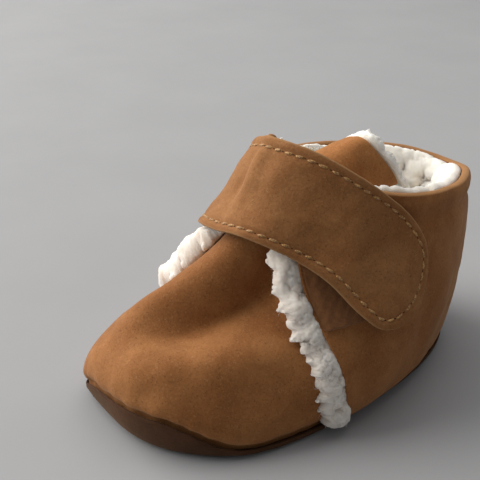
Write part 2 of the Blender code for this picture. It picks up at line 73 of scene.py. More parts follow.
# Envelope just above the seam and just below the rim, each at toe, corner, side and heel
RISE = (0.0298, 0.0194, 0.0217, 0.0255)
BULGE = (0.0042, 0.0042, 0.0042, 0.0029)
FLARE = (0.0240, 0.0053, 0.0031, 0.0019)
DROP = (0.0483, 0.0380, 0.0211, 0.0220)

# Layers, outwards from the envelope
NUBUCK, CLEARANCE, FLEECE_CLEARANCE = 0.0011, 0.00035, 0.0008
FLEECE_OVERLAP, PATCH, STRAP_FACE, STRAP_BACKING, HOOK = 0.0023, 0.0008, 0.0011, 0.0008, 0.0008

# Front edges of the quarter, and edges of the strap from its sewn end to its tip
EDGE_OUTER = (87.0, 80.5, 62.5, 34.5, 18.5)
EDGE_INNER = (-84.0, -73.5, -51.5, -30.0, -17.0)
STRAP_TOP_ANGLE = (-73.0, -55.0, -14.5, 20.5, 61.0, 90.0)
STRAP_TOP_SHARE = (0.79, 0.92, 0.985, 1.025, 1.00, 0.665)
STRAP_LOW_ANGLE = (-55.5, -35.0, -6.5, 16.0, 47.0, 87.5)
STRAP_LOW_SHARE = (0.54, 0.675, 0.76, 0.80, 0.715, 0.41)
STRAP_LENGTH, STRAP_WIDTH = 0.1075, 0.028
STRAP_ROUND_LOW, STRAP_ROUND_TOP, STRAP_ROUNDED = 0.065, 0.095, 0.10
STRAP_SPLITS = (0.335, 0.575, 0.775)

# Tongue, and the share of it that its nubuck covers
TONGUE_START, TONGUE_SPLIT, TONGUE_TIP_ROUND = 0.868, 0.46, 0.32
TONGUE_INNER, TONGUE_OUTER = -50.0, 60.0
TONGUE_TIP = (0.0131, 0.0168, 0.0794)
TONGUE_CORNER_OUTER = (0.0205, 0.0269, 0.0617)
TONGUE_CORNER_INNER = (-0.0135, 0.0180, 0.0600)
TONGUE_NUBUCK_ACROSS, TONGUE_NUBUCK_RISE = 0.87, 0.915

# Sewing
STITCH_PITCH, STITCH_INSET, THREAD = 0.0033, 0.0023, 0.00033
THREAD_SIDES, THREAD_RINGS = 6, 7
SEWN_ROWS = (0.030, 0.100)

# How far the vamp and its lining go on under the quarter
UNDERLAP = 8.5 * MM

# Relief: waves in a random field, points along a fold, and share of it over which it dies away
WAVES, FOLD_POINTS, FOLD_FADE = 14, 60, 0.25

# Fleece: thickness of the lining, the extra at the mouth and its lumps, and where it rolls over
LINING_THICK, MOUTH_FILL, MOUTH_LUMPS = 2.6 * MM, 4.6 * MM, 2.4 * MM
LINING_COLUMNS, LINING_ROUND_FROM, LINING_TOP = 230, 0.85, 0.995
# Fleece of the vamp, tongue and footbed, and the bands that show in front of the quarter's edges
VAMP_FLEECE, TONGUE_FLEECE, FOOTBED_FLEECE, FOOTBED_INSET = 3.2 * MM, 3.6 * MM, 3.4 * MM, 6.6 * MM
BAND_TOP, BAND_UNDER = 0.80, 3.0 * MM
BANDS = (
    # name, edge, share of the height where the strap lies on it, how proud it stands, its reach, seed
    ("fleece_band_outer", EDGE_OUTER, 0.80, 3.4 * MM, 6.6 * MM, 21),
    ("fleece_band_inner", EDGE_INNER, 0.71, 5.6 * MM, 7.0 * MM, 22),
)

# Nubucks: light, middle, dark and worn colour (also the painted highlight on the quarter's rim), and sheen
NUBUCKS = {
    "nubuck_tan": (
        (0.350, 0.146, 0.046), (0.268, 0.101, 0.028), (0.115, 0.039, 0.011), (0.42, 0.235, 0.10), 0.22,
    ),
    # The tongue's nubuck is the tan made lighter: painted light, for a tongue that faces up into the light
    "nubuck_tongue_painted_light": (
        (0.46, 0.20, 0.064), (0.37, 0.145, 0.041), (0.17, 0.058, 0.016), (0.50, 0.28, 0.12), 0.25,
    ),
    "nubuck_strap": (
        (0.320, 0.142, 0.048), (0.265, 0.107, 0.033), (0.11, 0.041, 0.013), (0.38, 0.225, 0.10), 0.20,
    ),
    # The sole's suede is the tan nubuck darkened several times over: painted shade for the sole in shadow
    # under the bootie
    "sole_suede": (
        (0.078, 0.031, 0.012), (0.056, 0.022, 0.008), (0.030, 0.011, 0.005), (0.10, 0.045, 0.019), 0.12,
    ),
}

# Fleeces: light, shaded and warm colour
FLEECES = {
    "fleece_cream": ((0.98, 0.905, 0.815), (0.84, 0.74, 0.63), (0.95, 0.85, 0.73)),
    # The bands' fleece is the same cream fleece darkened all over: painted shade
    "fleece_band": ((0.88, 0.80, 0.71), (0.50, 0.43, 0.36), (0.82, 0.72, 0.61)),
}

# Cloths: light and dark colour, texture size, roughness, sheen
CLOTHS = {
    "strap_backing": ((0.20, 0.10, 0.045), (0.09, 0.042, 0.018), 0.6 * MM, 0.9, 0.2),
    "loop_cloth": ((0.225, 0.092, 0.029), (0.165, 0.064, 0.020), 0.5 * MM, 0.95, 0.35),
    "hook_tape": ((0.10, 0.055, 0.028), (0.04, 0.022, 0.012), 0.5 * MM, 0.6, 0.2),
    # Needle holes: dark discs that paint the shade inside the holes
    "needle_hole_painted_shade": ((0.05, 0.022, 0.010), (0.03, 0.013, 0.006), 0.3 * MM, 0.95, 0.0),
}
FLEECE_INPUTS = {
    "Roughness": 0.95,
    "Specular IOR Level": 0.12,
    "Sheen Weight": 0.35,
    "Sheen Roughness": 0.5,
    "Subsurface Weight": 0.65,
    "Subsurface Radius": (1.0, 0.92, 0.84),
    "Subsurface Scale": 2.2 * MM,
}
THREAD_COLOURS = ((0.56, 0.30, 0.085), (0.22, 0.10, 0.028))
FLOOR_COLOURS, FLOOR_WIDTH = ((0.318, 0.317, 0.320), (0.336, 0.335, 0.338)), 6.0
WORLD_COLOUR, WORLD_STRENGTH = (0.97, 0.98, 1.0, 1.0), 0.25

# Camera, in degrees and metres
CAMERA_AZIMUTH, CAMERA_ELEVATION, CAMERA_DISTANCE = 53.97, 27.68, 0.2875
CAMERA_TARGET, CAMERA_LENS = (-0.0411, 0.0079, 0.025), 60.7

# Lights, each as its name, place, size, watts and colour; placed by the view's right and far side
VIEW_RIGHT, VIEW_BACK = np.array([0.588, 0.809, 0.0]), np.array([-0.809, 0.588, 0.0])
LIGHT_CENTRE = (0.0, 0.0, 0.03)
LIGHTS = (
    ("left", (-0.80 * VIEW_RIGHT + 0.25 * VIEW_BACK + 0.55 * UP) * 1.8, 2.1, 54.0, (1.0, 0.985, 0.96)),
    ("top", 1.8 * UP + 0.5 * VIEW_BACK, 2.0, 15.0, (1.0, 0.99, 0.98)),
)


# ---------------------------------------------------------------- surfaces


def cubic(values, bend, low, high, b, square):
    """Cubic curve between two knots, b of the way along; square is the squared step between knots."""
    a = 1 - b
    curve = a * values[low] + b * values[high]
    return curve + ((a**3 - a) * bend[low] + (b**3 - b) * bend[high]) * square / 6


def periodic_spline(values, angle):
    """Smooth closed curve through values at equal angles, the first at zero."""
    values = np.asarray(values, float)
    count = len(values)
    step = 2 * math.pi / count
    matrix = 4 * np.eye(count) + np.roll(np.eye(count), 1, 1) + np.roll(np.eye(count), -1, 1)
    second = np.roll(values, -1) - 2 * values + np.roll(values, 1)
    bend = np.linalg.solve(matrix, 6 * second / step**2)
    place = np.mod(angle, 2 * math.pi) / step
    low = np.floor(place).astype(int) % count
    return cubic(values, bend, low, (low + 1) % count, place - np.floor(place), step**2)


def smooth_curve(values, place):
    """Natural cubic curve through values at equal steps of place, from 0 to 1."""
    values = np.asarray(values, float)
    count = len(values)
    matrix = np.eye(count)
    pull = np.zeros(count)
    for i in range(1, count - 1):
        matrix[i, i - 1 : i + 2] = (1.0, 4.0, 1.0)
        pull[i] = 6 * (values[i - 1] - 2 * values[i] + values[i + 1])
    bend = np.linalg.solve(matrix, pull)
    place = np.clip(place, 0.0, 1.0) * (count - 1)
    low = np.minimum(np.floor(place).astype(int), count - 2)
    return cubic(values, bend, low, low + 1, place - low, 1.0)


def bezier(start, first, second, end, place):
    rest = 1 - place
    return rest**3 * start + 3 * place * rest**2 * first + 3 * place**2 * rest * second + place**3 * end


def round_about(stations, angle):
    """Value at angle of toe, corner, side and heel stations, the same on both sides."""
    toe, corner, side, heel = stations
    rear = (side + heel) / 2
    return periodic_spline((toe, corner, side, rear, heel, rear, side, corner), angle)


def smooth_step(value):
    value = np.clip(value, 0.0, 1.0)
    return value * value * (3 - 2 * value)


def unit(vectors):
    return vectors / np.maximum(np.linalg.norm(vectors, axis=-1, keepdims=True), 1e-12)


def bell(value, centre, width):
    return np.exp(-(((value - centre) / width) ** 2))


def wrapped(angle):
    """The same angle between minus and plus half a turn, so 0 at the toe."""
    return np.arctan2(np.sin(angle), np.cos(angle))


def pucker(angle):
    """Uneven gathers round the sole seam."""
    return np.sin(angle * 47 + 2.1 * np.sin(angle * 9))


def seam_height(angle):
    away = np.degrees(wrapped(angle)) - TOE_SEAM_ANGLE
    front = np.exp(-((np.abs(away) / TOE_SEAM_SPREAD) ** TOE_SEAM_POWER))
    back = np.maximum(0.0, -np.cos(angle)) ** 4
    return SEAM_HEIGHT + (TOE_SEAM_HEIGHT - SEAM_HEIGHT) * front + (HEEL_SEAM_HEIGHT - SEAM_HEIGHT) * back


def outline(angle):
    """Plan position of the sole edge, before the part is centred."""
    along, across = np.cos(angle), np.sin(angle)
    wide = np.sign(across) * np.abs(across) ** SIDE_POWER
    x = SOLE_WIDTH / 2 * wide * (1 + SOLE_TAPER * along) + TOE_SKEW * np.maximum(0.0, along) ** 2
    return x, -SOLE_LENGTH / 2 * np.sign(along) * np.abs(along) ** END_POWER


def part_shift():
    """Move from the part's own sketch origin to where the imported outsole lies."""
    x, y = outline(np.radians(np.arange(0.0, 360.0, 5.0)))
    low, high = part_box("outsole")
    return np.array([(low.x + high.x - x.min() - x.max()) / 2, (low.y + high.y - y.min() - y.max()) / 2, 0.0])


SHIFT = part_shift()


def envelope(angle, share):
    """Point of the base surface: angle round from the toe, share of the way up from seam to rim."""
    angle, share = np.broadcast_arrays(np.asarray(angle, float), np.asarray(share, float))
    share = share[..., None]
    x, y = outline(angle)
    low = np.stack([x, y, seam_height(angle) + CLEARANCE], -1)
    reach = 1 - RIM_FLAT * np.maximum(0.0, np.cos(angle - math.radians(RIM_FLAT_ANGLE))) ** 4
    x = RIM_CENTRE[0] + RIM_HALF[0] * reach * np.sin(angle)
    y = RIM_CENTRE[1] - RIM_HALF[1] * reach * np.cos(angle)
    high = np.stack([x, y, periodic_spline(RIM_HEIGHTS, angle)], -1)
    out = np.stack([np.sin(angle), -np.cos(angle), 0 * angle], -1)
    base = np.stack([low[..., 0], low[..., 1], 0 * angle + SEAM_HEIGHT], -1)
    lower = base + out * round_about(BULGE, angle)[..., None] + UP * round_about(RISE, angle)[..., None]
    upper = high + out * round_about(FLARE, angle)[..., None] - UP * round_about(DROP, angle)[..., None]
    inside = np.clip(share, 0.0, 1.0)
    return bezier(low, lower, upper, high, inside) + 3 * (high - upper) * (share - inside) + SHIFT


def normal(angle, share):
    small = 1e-3
    around = envelope(angle + small, share) - envelope(angle - small, share)
    rising = envelope(angle, share + small) - envelope(angle, share - small)
    return unit(np.cross(around, rising))


def layer(angle, share, height):
    """Envelope moved outwards by height."""
    return envelope(angle, share) + normal(angle, share) * np.asarray(height)[..., None]


def shifted_edge(share, angles, distance):
    """Angle of the quarter's front edge after moving it by distance, towards the heel if positive."""
    share = np.clip(share, 0, 1)
    side = 1.0 if angles[0] > 0 else -1.0
    angle = np.radians(smooth_curve(angles, share))
    small = 0.02
    span = envelope(angle + small, share) - envelope(angle - small, share)
    rate = np.linalg.norm(span, axis=-1) / (2 * small)
    return angle + side * distance / rate


def spread(start, end, shares, steps):
    """Grids of angle and share: a row for each share, and steps from the start angle to the end angle."""
    return start[:, None] * (1 - steps) + end[:, None] * steps, np.repeat(shares[:, None], len(steps), 1)


def quarter_height(angle, share):
    """How far the quarter's outer face stands off the envelope: most in front, little at the heel."""
    squeeze = 1 - 0.55 * smooth_step(1 - share / 0.16)
    full = FLEECE_CLEARANCE + CLEARANCE + FLEECE_OVERLAP * squeeze + NUBUCK
    forward = smooth_step((math.radians(140) - np.abs(wrapped(angle))) / math.radians(62))
    return 0.0003 + (full - 0.0003) * forward


def strap_lift(along):
    """Height of the strap's backing above the quarter: more where a patch lies beneath it."""
    anchor = (PATCH + 2 * CLEARANCE) * smooth_step((0.46 - along) / 0.12)
    loop = (PATCH + 2 * CLEARANCE) * smooth_step((along - 0.44) / 0.12)
    hook = (HOOK + CLEARANCE) * smooth_step((along - 0.68) / 0.12)
    return CLEARANCE + anchor + loop + hook


def strap_point(along, across, height):
    """Point of the strap: along from the sewn end to the tip, across from lower to upper edge."""
    low, high = smooth_curve(STRAP_LOW_ANGLE, along), smooth_curve(STRAP_TOP_ANGLE, along)
    angle = np.radians(low * (1 - across) + high * across)
    low, high = smooth_curve(STRAP_LOW_SHARE, along), smooth_curve(STRAP_TOP_SHARE, along)
    share = low * (1 - across) + high * across
    return layer(angle, share, quarter_height(angle, share) + strap_lift(along) + height)


def tip_reach(along, side):
    """Share of the strap's half width left at each place on its lower (-1) or upper side (1)."""
    length = np.where(side < 0, STRAP_ROUND_LOW, STRAP_ROUND_TOP)
    into = np.clip((along - 1 + length) / length, 0.0, 1.0)
    return np.sqrt(np.maximum(0.0, 1 - into**2.5))


def tongue_end(across):
    """Top edge of the tongue: a rounded triangle, across from -1 (inner corner) to 1 (outer corner)."""
    tip, inner, outer = (np.array(p) for p in (TONGUE_TIP, TONGUE_CORNER_INNER, TONGUE_CORNER_OUTER))
    blunt = TONGUE_TIP_ROUND
    share = (np.sqrt(across**2 + blunt) - math.sqrt(blunt)) / (math.sqrt(1 + blunt) - math.sqrt(blunt))
    side = (1 + across / np.sqrt(across**2 + blunt) * math.sqrt(1 + blunt)) / 2
    corner = inner * (1 - side[..., None]) + outer * side[..., None]
    end = tip * (1 - share[..., None]) + corner * share[..., None]
    wide = (outer[0] - inner[0]) / 2
    lean = (outer[0] + inner[0]) / 2 - tip[0]
    end[..., 0] = tip[0] + across * wide + across**2 * lean
    return end + SHIFT


def tongue_surface(across, rise):
    """Point of the tongue: it leaves the vamp, runs under the quarter and folds back over the mouth."""
    inner, outer = math.radians(TONGUE_INNER), math.radians(TONGUE_OUTER)
    angle = (inner + outer) / 2 + across * (outer - inner) / 2
    start = envelope(angle, 0 * angle + TONGUE_START)
    up = envelope(angle, 0 * angle + 1.0) - start
    end = tongue_end(across)
    lean = np.array([0.0, 7.5, 0.5]) * MM
    first = start + up * 0.55
    second = end - lean * (1 - 0.5 * np.abs(across))[..., None]
    return bezier(start, first, second, end, rise[..., None])


def tongue_layer(across, rise, depth):
    small = 1e-3
    wide = tongue_surface(across + small, rise) - tongue_surface(across - small, rise)
    tall = tongue_surface(across, rise + small) - tongue_surface(across, rise - small)
    return tongue_surface(across, rise) - unit(np.cross(wide, tall)) * np.asarray(depth)[..., None]


# ---------------------------------------------------------------- relief


def waves(points, size, seed):
    """Smooth random field of unit strength whose lumps are about size across."""
    rng = np.random.default_rng(seed)
    total = np.zeros(points.shape[:-1])
    for _ in range(WAVES):
        direction = unit(rng.normal(size=3))
        length = size * rng.uniform(0.75, 1.7)
        total += np.sin(points @ direction * (2 * math.pi / length) + rng.uniform(0, 2 * math.pi))
    return total / math.sqrt(WAVES / 2)


def surface_path(stops):
    """Points on the envelope along a smooth path through (degrees, share) stops."""
    place = np.linspace(0.0, 1.0, FOLD_POINTS)
    degrees, shares = zip(*stops)
    return envelope(np.radians(smooth_curve(degrees, place)), smooth_curve(shares, place))


def fold(points, path, width, height):
    """Ridge, or a crease if height is negative, along a path, dying away over its ends."""
    flat = points.reshape(-1, 3)
    gaps = np.sum((flat[:, None, :] - path[None, :, :]) ** 2, axis=-1)
    place = np.linspace(0.0, 1.0, len(path))
    ends = smooth_step(place / FOLD_FADE) * smooth_step((1 - place) / FOLD_FADE)
    step = np.linalg.norm(np.diff(path, axis=0), axis=1).mean()
    strength = (np.exp(-gaps / width**2) * ends).sum(axis=1) * step / (math.sqrt(math.pi) * width)
    return (strength * height).reshape(points.shape[:-1])


# Folds, each as its (degrees, share) stops, width and height
VAMP_FOLDS = (
    (((8, 0.90), (1, 0.72), (-5, 0.51), (-3, 0.33)), 6.5 * MM, 3.2 * MM),
    (((36, 0.96), (30, 0.82), (24, 0.69), (17, 0.59), (8, 0.50), (0, 0.42)), 8.5 * MM, -8.4 * MM),
    (((58, 0.80), (46, 0.66), (34, 0.60), (24, 0.60)), 9.0 * MM, -3.8 * MM),
    (((62, 0.44), (46, 0.46), (27, 0.43), (14, 0.34), (4, 0.24)), 8.0 * MM, 1.8 * MM),
    (((-22, 0.70), (-26, 0.55), (-24, 0.40)), 7.0 * MM, -1.2 * MM),
    (((-50, 0.42), (-38, 0.44), (-26, 0.36)), 7.0 * MM, 1.0 * MM),
    (((26, 0.17), (21, 0.155), (16, 0.15)), 2.6 * MM, -0.8 * MM),
    (((46, 0.06), (50, 0.03), (54, 0.02)), 2.4 * MM, -0.5 * MM),
)

QUARTER_FOLDS = (
    (((70, 0.90), (95, 0.91), (125, 0.90), (150, 0.91)), 3.4 * MM, -0.5 * MM),
    (((-70, 0.90), (-95, 0.91), (-125, 0.90), (-150, 0.91)), 3.4 * MM, -0.5 * MM),
    (((104, 0.62), (112, 0.40), (116, 0.16)), 6.0 * MM, 0.9 * MM),
    (((96, 0.52), (101, 0.34), (103, 0.16)), 3.6 * MM, -0.7 * MM),
    (((-98, 0.60), (-108, 0.40), (-112, 0.20)), 6.0 * MM, 0.8 * MM),
    (((150, 0.40), (176, 0.34), (202, 0.40)), 4.5 * MM, -0.7 * MM),
    (((80, 0.16), (96, 0.13), (112, 0.16)), 3.0 * MM, -0.6 * MM),
)


def relief(points, folds):
    """Height added to a surface by its folds and the gentle unevenness of soft leather."""
    total = 0.18 * MM * waves(points, 21 * MM, 3) + 0.05 * MM * waves(points, 6.5 * MM, 4)
    for stops, width, height in folds:
        total = total + fold(points, surface_path(stops), width, height)
    return total


def seam_gather(angle, share):
    """The upper turns in at the sole seam, gathered into small puckers round the toe."""
    low = np.clip(1 - share / 0.07, 0.0, 1.0)
    turn = -1.7 * MM * low**2.2
    near = smooth_step(1 - share / 0.22)
    toe = np.maximum(0.0, np.cos(angle)) ** 1.5
    uneven = pucker(angle) + 0.6 * np.sin(angle * 29 + 1.0)
    return turn + (0.06 + 0.10 * toe) * MM * near * uneven


# ---------------------------------------------------------------- meshes


def new_object(name, points, faces, materials, slots=None, **attributes):
    """Smooth mesh object; each attribute is a value per point. 'rest' keeps the points for its materials."""
    points = np.asarray(points, float).reshape(-1, 3)
    mesh = bpy.data.meshes.new(name)
    mesh.from_pydata(points.tolist(), [], faces)
    for made in materials:
        mesh.materials.append(made)
    if slots is not None:
        mesh.polygons.foreach_set("material_index", np.asarray(slots, np.int32))
    mesh.polygons.foreach_set("use_smooth", np.ones(len(mesh.polygons), bool))
    rest = mesh.attributes.new("rest", "FLOAT_VECTOR", "POINT")
    rest.data.foreach_set("vector", points.astype(np.float32).ravel())
    for key, values in attributes.items():
        made = mesh.attributes.new(key, "FLOAT", "POINT")
        made.data.foreach_set("value", np.asarray(values, np.float32).ravel())
    mesh.update()
    obj = bpy.data.objects.new(name, mesh)
    bpy.context.scene.collection.objects.link(obj)
    return obj


def grid_faces(rows, columns, start=0, flip=False):
    i, j = np.meshgrid(np.arange(rows - 1), np.arange(columns - 1), indexing="ij")
    a = (start + i * columns + j).ravel()
    quads = np.stack([a, a + 1, a + columns + 1, a + columns], 1)
    return quads[:, ::-1] if flip else quads


def border(rows, columns):
    """Indices of a grid's border, once round."""
    ring = [(0, j) for j in range(columns - 1)]
    ring += [(i, columns - 1) for i in range(rows - 1)]
    ring += [(rows - 1, j) for j in range(columns - 1, 0, -1)]
    ring += [(i, 0) for i in range(rows - 1, 0, -1)]
    return np.array(ring)


def rounded_sheet(outer, inner, bulge=0.55, steps=3):
    """Points, faces and edge marks of a sheet between two grids, with its edges rounded over."""
    rows, columns = outer.shape[:2]
    ring = border(rows, columns)
    o, n = outer[ring[:, 0], ring[:, 1]], inner[ring[:, 0], ring[:, 1]]
    inward_i = np.clip(ring[:, 0], 1, rows - 2)
    inward_j = np.clip(ring[:, 1], 1, columns - 2)
    away = unit(o - outer[inward_i, inward_j])
    half = (o - n) / 2
    points = [outer.reshape(-1, 3), inner.reshape(-1, 3)]
    size = rows * columns
    for k in range(1, steps + 1):
        turn = math.pi * k / (steps + 1)
        reach = np.linalg.norm(half, axis=-1, keepdims=True) * math.sin(turn) * bulge
        points.append((o + n) / 2 + half * math.cos(turn) + away * reach)
    flat = ring[:, 0] * columns + ring[:, 1]
    loops = [flat] + [2 * size + k * len(ring) + np.arange(len(ring)) for k in range(steps)] + [size + flat]
    faces = [grid_faces(rows, columns), grid_faces(rows, columns, size, flip=True)]
    for low, high in zip(loops, loops[1:]):
        faces.append(np.stack([np.roll(low, -1), low, high, np.roll(high, -1)], 1))
    edge = np.zeros(2 * size + steps * len(ring))
    edge[flat] = edge[size + flat] = 0.8
    edge[2 * size :] = 1.0
    return np.concatenate(points), np.concatenate(faces), edge


def toned_sheet(outer, inner, tones, bulge=0.8):
    """A rounded sheet whose points carry a tone, the fleece's painted crease shade: the outer grid's own, and
    a middle one elsewhere.
    """
    points, faces, edge = rounded_sheet(outer, inner, bulge)
    shade = np.full(len(edge), 0.6)
    shade[: tones.size] = tones.ravel()
    return points, faces.tolist(), shade


def sheet_object(name, outer, inner, materials):
    points, faces, edge = rounded_sheet(outer, inner)
    return new_object(name, points, faces.tolist(), materials, edge=edge)


def joined(parts):
    """One mesh made of several, each given as its points, its faces and a mark for each point or face."""
    faces, total = [], 0
    for points, more, _ in parts:
        faces += [[k + total for k in face] for face in more]
        total += len(points)
    points, _, marks = zip(*parts)
    return np.concatenate(points), faces, np.concatenate(marks)


def rings_of(first, second, sides):
    """Rings of points about the origin, each in the plane of its own two vectors."""
    around = 2 * math.pi * np.arange(sides) / sides
    return first[:, None] * np.cos(around)[None, :, None] + second[:, None] * np.sin(around)[None, :, None]


def tube_faces(rings, sides):
    faces = []
    for low in range(0, (rings - 1) * sides, sides):
        for j in range(sides):
            n = (j + 1) % sides
            faces.append((low + j, low + n, low + sides + n, low + sides + j))
    return faces


# ---------------------------------------------------------------- fleece


def curls(roots, outward, lean, rng, length, radius, turn, loose=0.55, sides=5, rings=6):
    """Tapered curly tufts standing on roots: points, faces and a tone for each point."""
    count = len(roots)
    random = unit(rng.normal(size=(count, 3)))
    direction = unit(outward + lean + loose * random)
    axis = unit(np.cross(direction, unit(rng.normal(size=(count, 3)))))
    size = radius * rng.uniform(0.65, 1.3, count)
    step = length * rng.uniform(0.55, 1.25, count) / (rings - 1)
    rate = turn * rng.uniform(0.3, 1.2, count) / (rings - 1)
    place = roots.copy()
    points = []
    for k in range(rings):
        rise = k / (rings - 1)
        first = unit(np.cross(direction, axis))
        second = unit(np.cross(direction, first))
        lump = 1 + 0.12 * np.sin(3.1 * k + rng.uniform(0, 6.28, count))
        wide = size * lump * (1 - 0.45 * rise) * (0.35 if k == rings - 1 else 1.0)
        points.append(place[:, None] + rings_of(first, second, sides) * wide[:, None, None])
        place = place + direction * step[:, None]
        spin = np.cos(rate)[:, None]
        direction = unit(direction * spin + np.cross(axis, direction) * np.sin(rate)[:, None])
        axis = unit(axis + 0.25 * rng.normal(size=(count, 3)))
    points = np.stack(points, 1).reshape(-1, 3)
    starts = (np.arange(count) * rings * sides)[:, None]
    faces = (np.array(tube_faces(rings, sides))[None] + starts[:, :, None]).reshape(-1, 4).tolist()
    caps = (rings - 1) * sides + np.arange(sides)[::-1]
    faces += (caps[None] + starts).tolist()
    return points, faces, np.repeat(rng.uniform(0, 1, count), rings * sides)


def fleece_object(name, base, tufts, materials):
    """One piece of fleece: its matted base sheet and its curls."""
    points, faces, tone = joined([base, *tufts])
    return new_object(name, points, faces, materials, tone=tone)


def puffs(points, radius, spacing, seed):
    """Matted pile: soft round lumps with creases between them, as a share of their full height."""
    rng = np.random.default_rng(seed)
    flat = points.reshape(-1, 3)
    order = rng.permutation(len(flat))
    cells = np.floor(flat[order] / spacing).astype(int)
    _, first = np.unique(cells, axis=0, return_index=True)
    tops = flat[order][first]
    tree = KDTree(len(tops))
    for k, top in enumerate(tops):
        tree.insert(top, k)
    tree.balance()
    size = rng.uniform(0.75, 1.15, len(tops))
    found = [tree.find(point) for point in flat]
    gaps = np.array([hit[2] for hit in found]) / (radius * size[[hit[1] for hit in found]])
    return np.sqrt(np.maximum(0.0, 1 - gaps**2)).reshape(points.shape[:-1])


def pile(points, seed):
    """Height of a fleece surface, and its tone: painted shade, darkest in the creases between lumps. Large
    soft lumps, small curls, and slow waves.
    """
    large = puffs(points, 2.9 * MM, 3.4 * MM, seed)
    small = puffs(points, 1.15 * MM, 1.35 * MM, seed + 1)
    fine = puffs(points, 0.60 * MM, 0.70 * MM, seed + 3)
    slow = waves(points, 7.0 * MM, seed + 2)
    # Painted shade: the tone is low in the creases between the lumps and high on their tops
    tone = np.clip(0.20 + 0.45 * large + 0.25 * small + 0.15 * fine, 0.0, 1.0)
    return (1.15 * large + 0.42 * small + 0.20 * fine + 0.30 * slow) * MM, tone


# ---------------------------------------------------------------- materials


class Graph:
    """A material, with short names for the few nodes that it is made of."""

    def __init__(self, name, inputs):
        self.made = bpy.data.materials.new(name)
        self.made.use_nodes = True
        self.tree = self.made.node_tree
        self.shader = self.tree.nodes["Principled BSDF"]
        for key, value in inputs.items():
            self.shader.inputs[key].default_value = value
        self.rest = self.node("ShaderNodeAttribute", attribute_name="rest").outputs["Vector"]

    def finish(self, colour, bump=None):
        """Links the colour, and the bump if there is one, and gives the material."""
        self.link(colour, self.shader.inputs["Base Color"])
        if bump is not None:
            self.link(bump, self.shader.inputs["Normal"])
        return self.made

    def node(self, kind, **settings):
        made = self.tree.nodes.new(kind)
        for key, value in settings.items():
            setattr(made, key, value)
        return made

    def link(self, source, target):
        self.tree.links.new(source, target)

    def attribute(self, name):
        return self.node("ShaderNodeAttribute", attribute_name=name).outputs["Fac"]

    def noise(self, size, detail, roughness, distortion=0.0):
        """Noise with features about size metres across."""
        made = self.node("ShaderNodeTexNoise")
        made.inputs["Scale"].default_value = 1 / size
        made.inputs["Detail"].default_value = detail
        made.inputs["Roughness"].default_value = roughness
        made.inputs["Distortion"].default_value = distortion
        self.link(self.rest, made.inputs["Vector"])
        return made.outputs["Fac"]

    def ramp(self, value, low, high):
        """0 below low and 1 above high."""
        made = self.node("ShaderNodeMapRange", interpolation_type="SMOOTHSTEP")
        made.inputs["From Min"].default_value = low
        made.inputs["From Max"].default_value = high
        self.link(value, made.inputs["Value"])
        return made.outputs["Result"]

    def math(self, operation, first, second):
        made = self.node("ShaderNodeMath", operation=operation)
        for socket, value in zip(made.inputs, (first, second)):
            if isinstance(value, (int, float)):
                socket.default_value = value
            else:
                self.link(value, socket)
        return made.outputs["Value"]

    def mix(self, share, first, second):
        made = self.node("ShaderNodeMix", data_type="RGBA")
        for socket, value in ((made.inputs[0], share), (made.inputs[6], first), (made.inputs[7], second)):
            if isinstance(value, (int, float)):
                socket.default_value = value
            elif isinstance(value, tuple):
                socket.default_value = (*value, 1.0)
            else:
                self.link(value, socket)
        return made.outputs[2]

    def bump(self, height, distance, strength, after=None):
        made = self.node("ShaderNodeBump")
        made.inputs["Distance"].default_value = distance
        made.inputs["Strength"].default_value = strength
        self.link(height, made.inputs["Height"])
        if after is not None:
            self.link(after, made.inputs["Normal"])
        return made.outputs["Normal"]


def nubuck(name, light, middle, dark, worn_and_highlight, sheen):
    """Buffed leather: patches where the nap lies differently, dark flecks, and pale edges: worn, and round
    the quarter's rim partly a painted highlight.
    """
    tint = (0.95, 0.62, 0.36, 1.0)
    inputs = {"Specular IOR Level": 0.22, "Sheen Weight": sheen, "Sheen Roughness": 0.42, "Sheen Tint": tint}
    g = Graph(name, inputs)
    patches = g.ramp(g.noise(17 * MM, 4.0, 0.6, 0.8), 0.34, 0.68)
    nap = g.noise(3.2 * MM, 5.0, 0.62, 0.5)
    brushed = g.ramp(nap, 0.30, 0.72)
    grain = g.noise(0.85 * MM, 3.0, 0.6)
    flecks = g.ramp(g.noise(0.50 * MM, 2.0, 0.55), 0.56, 0.72)
    scuffs = g.ramp(g.noise(0.56 * MM, 2.0, 0.55, 0.4), 0.56, 0.72)
    colour = g.mix(patches, middle, light)
    for mask, strength, other in (
        (brushed, 0.16, dark),
        (g.ramp(grain, 0.35, 0.75), 0.22, dark),
        (flecks, 0.42, tuple(0.5 * c for c in dark)),
        (scuffs, 0.34, worn_and_highlight),
        # Marked edges take the worn colour: worn cut edges, and round the quarter's rim also a painted
        # highlight
        (g.attribute("edge"), 0.45, worn_and_highlight),
    ):
        colour = g.mix(g.math("MULTIPLY", mask, strength), colour, other)
    rough = g.math("ADD", g.math("MULTIPLY", brushed, 0.10), 0.80)
    g.link(rough, g.shader.inputs["Roughness"])
    return g.finish(colour, g.bump(nap, 0.35 * MM, 0.35, g.bump(grain, 0.16 * MM, 0.55)))


def fleece(name, light, shade, warm):
    """Curly pile: off-white fibres, darker in the creases between lumps as painted shade, a little darker and
    warmer in random places, with light passing through.
    """
    g = Graph(name, FLEECE_INPUTS)
    clumps = g.ramp(g.noise(2.6 * MM, 4.0, 0.6, 0.4), 0.32, 0.70)
    fibre = g.noise(0.40 * MM, 4.0, 0.7, 1.6)
    # Painted shade: the tone darkens the creases between lumps towards the shade colour
    colour = g.mix(g.attribute("tone"), shade, light)
    colour = g.mix(g.math("MULTIPLY", clumps, 0.35), colour, warm)
    colour = g.mix(g.math("MULTIPLY", g.ramp(fibre, 0.5, 0.8), 0.25), colour, shade)
    return g.finish(colour, g.bump(fibre, 0.22 * MM, 0.45))


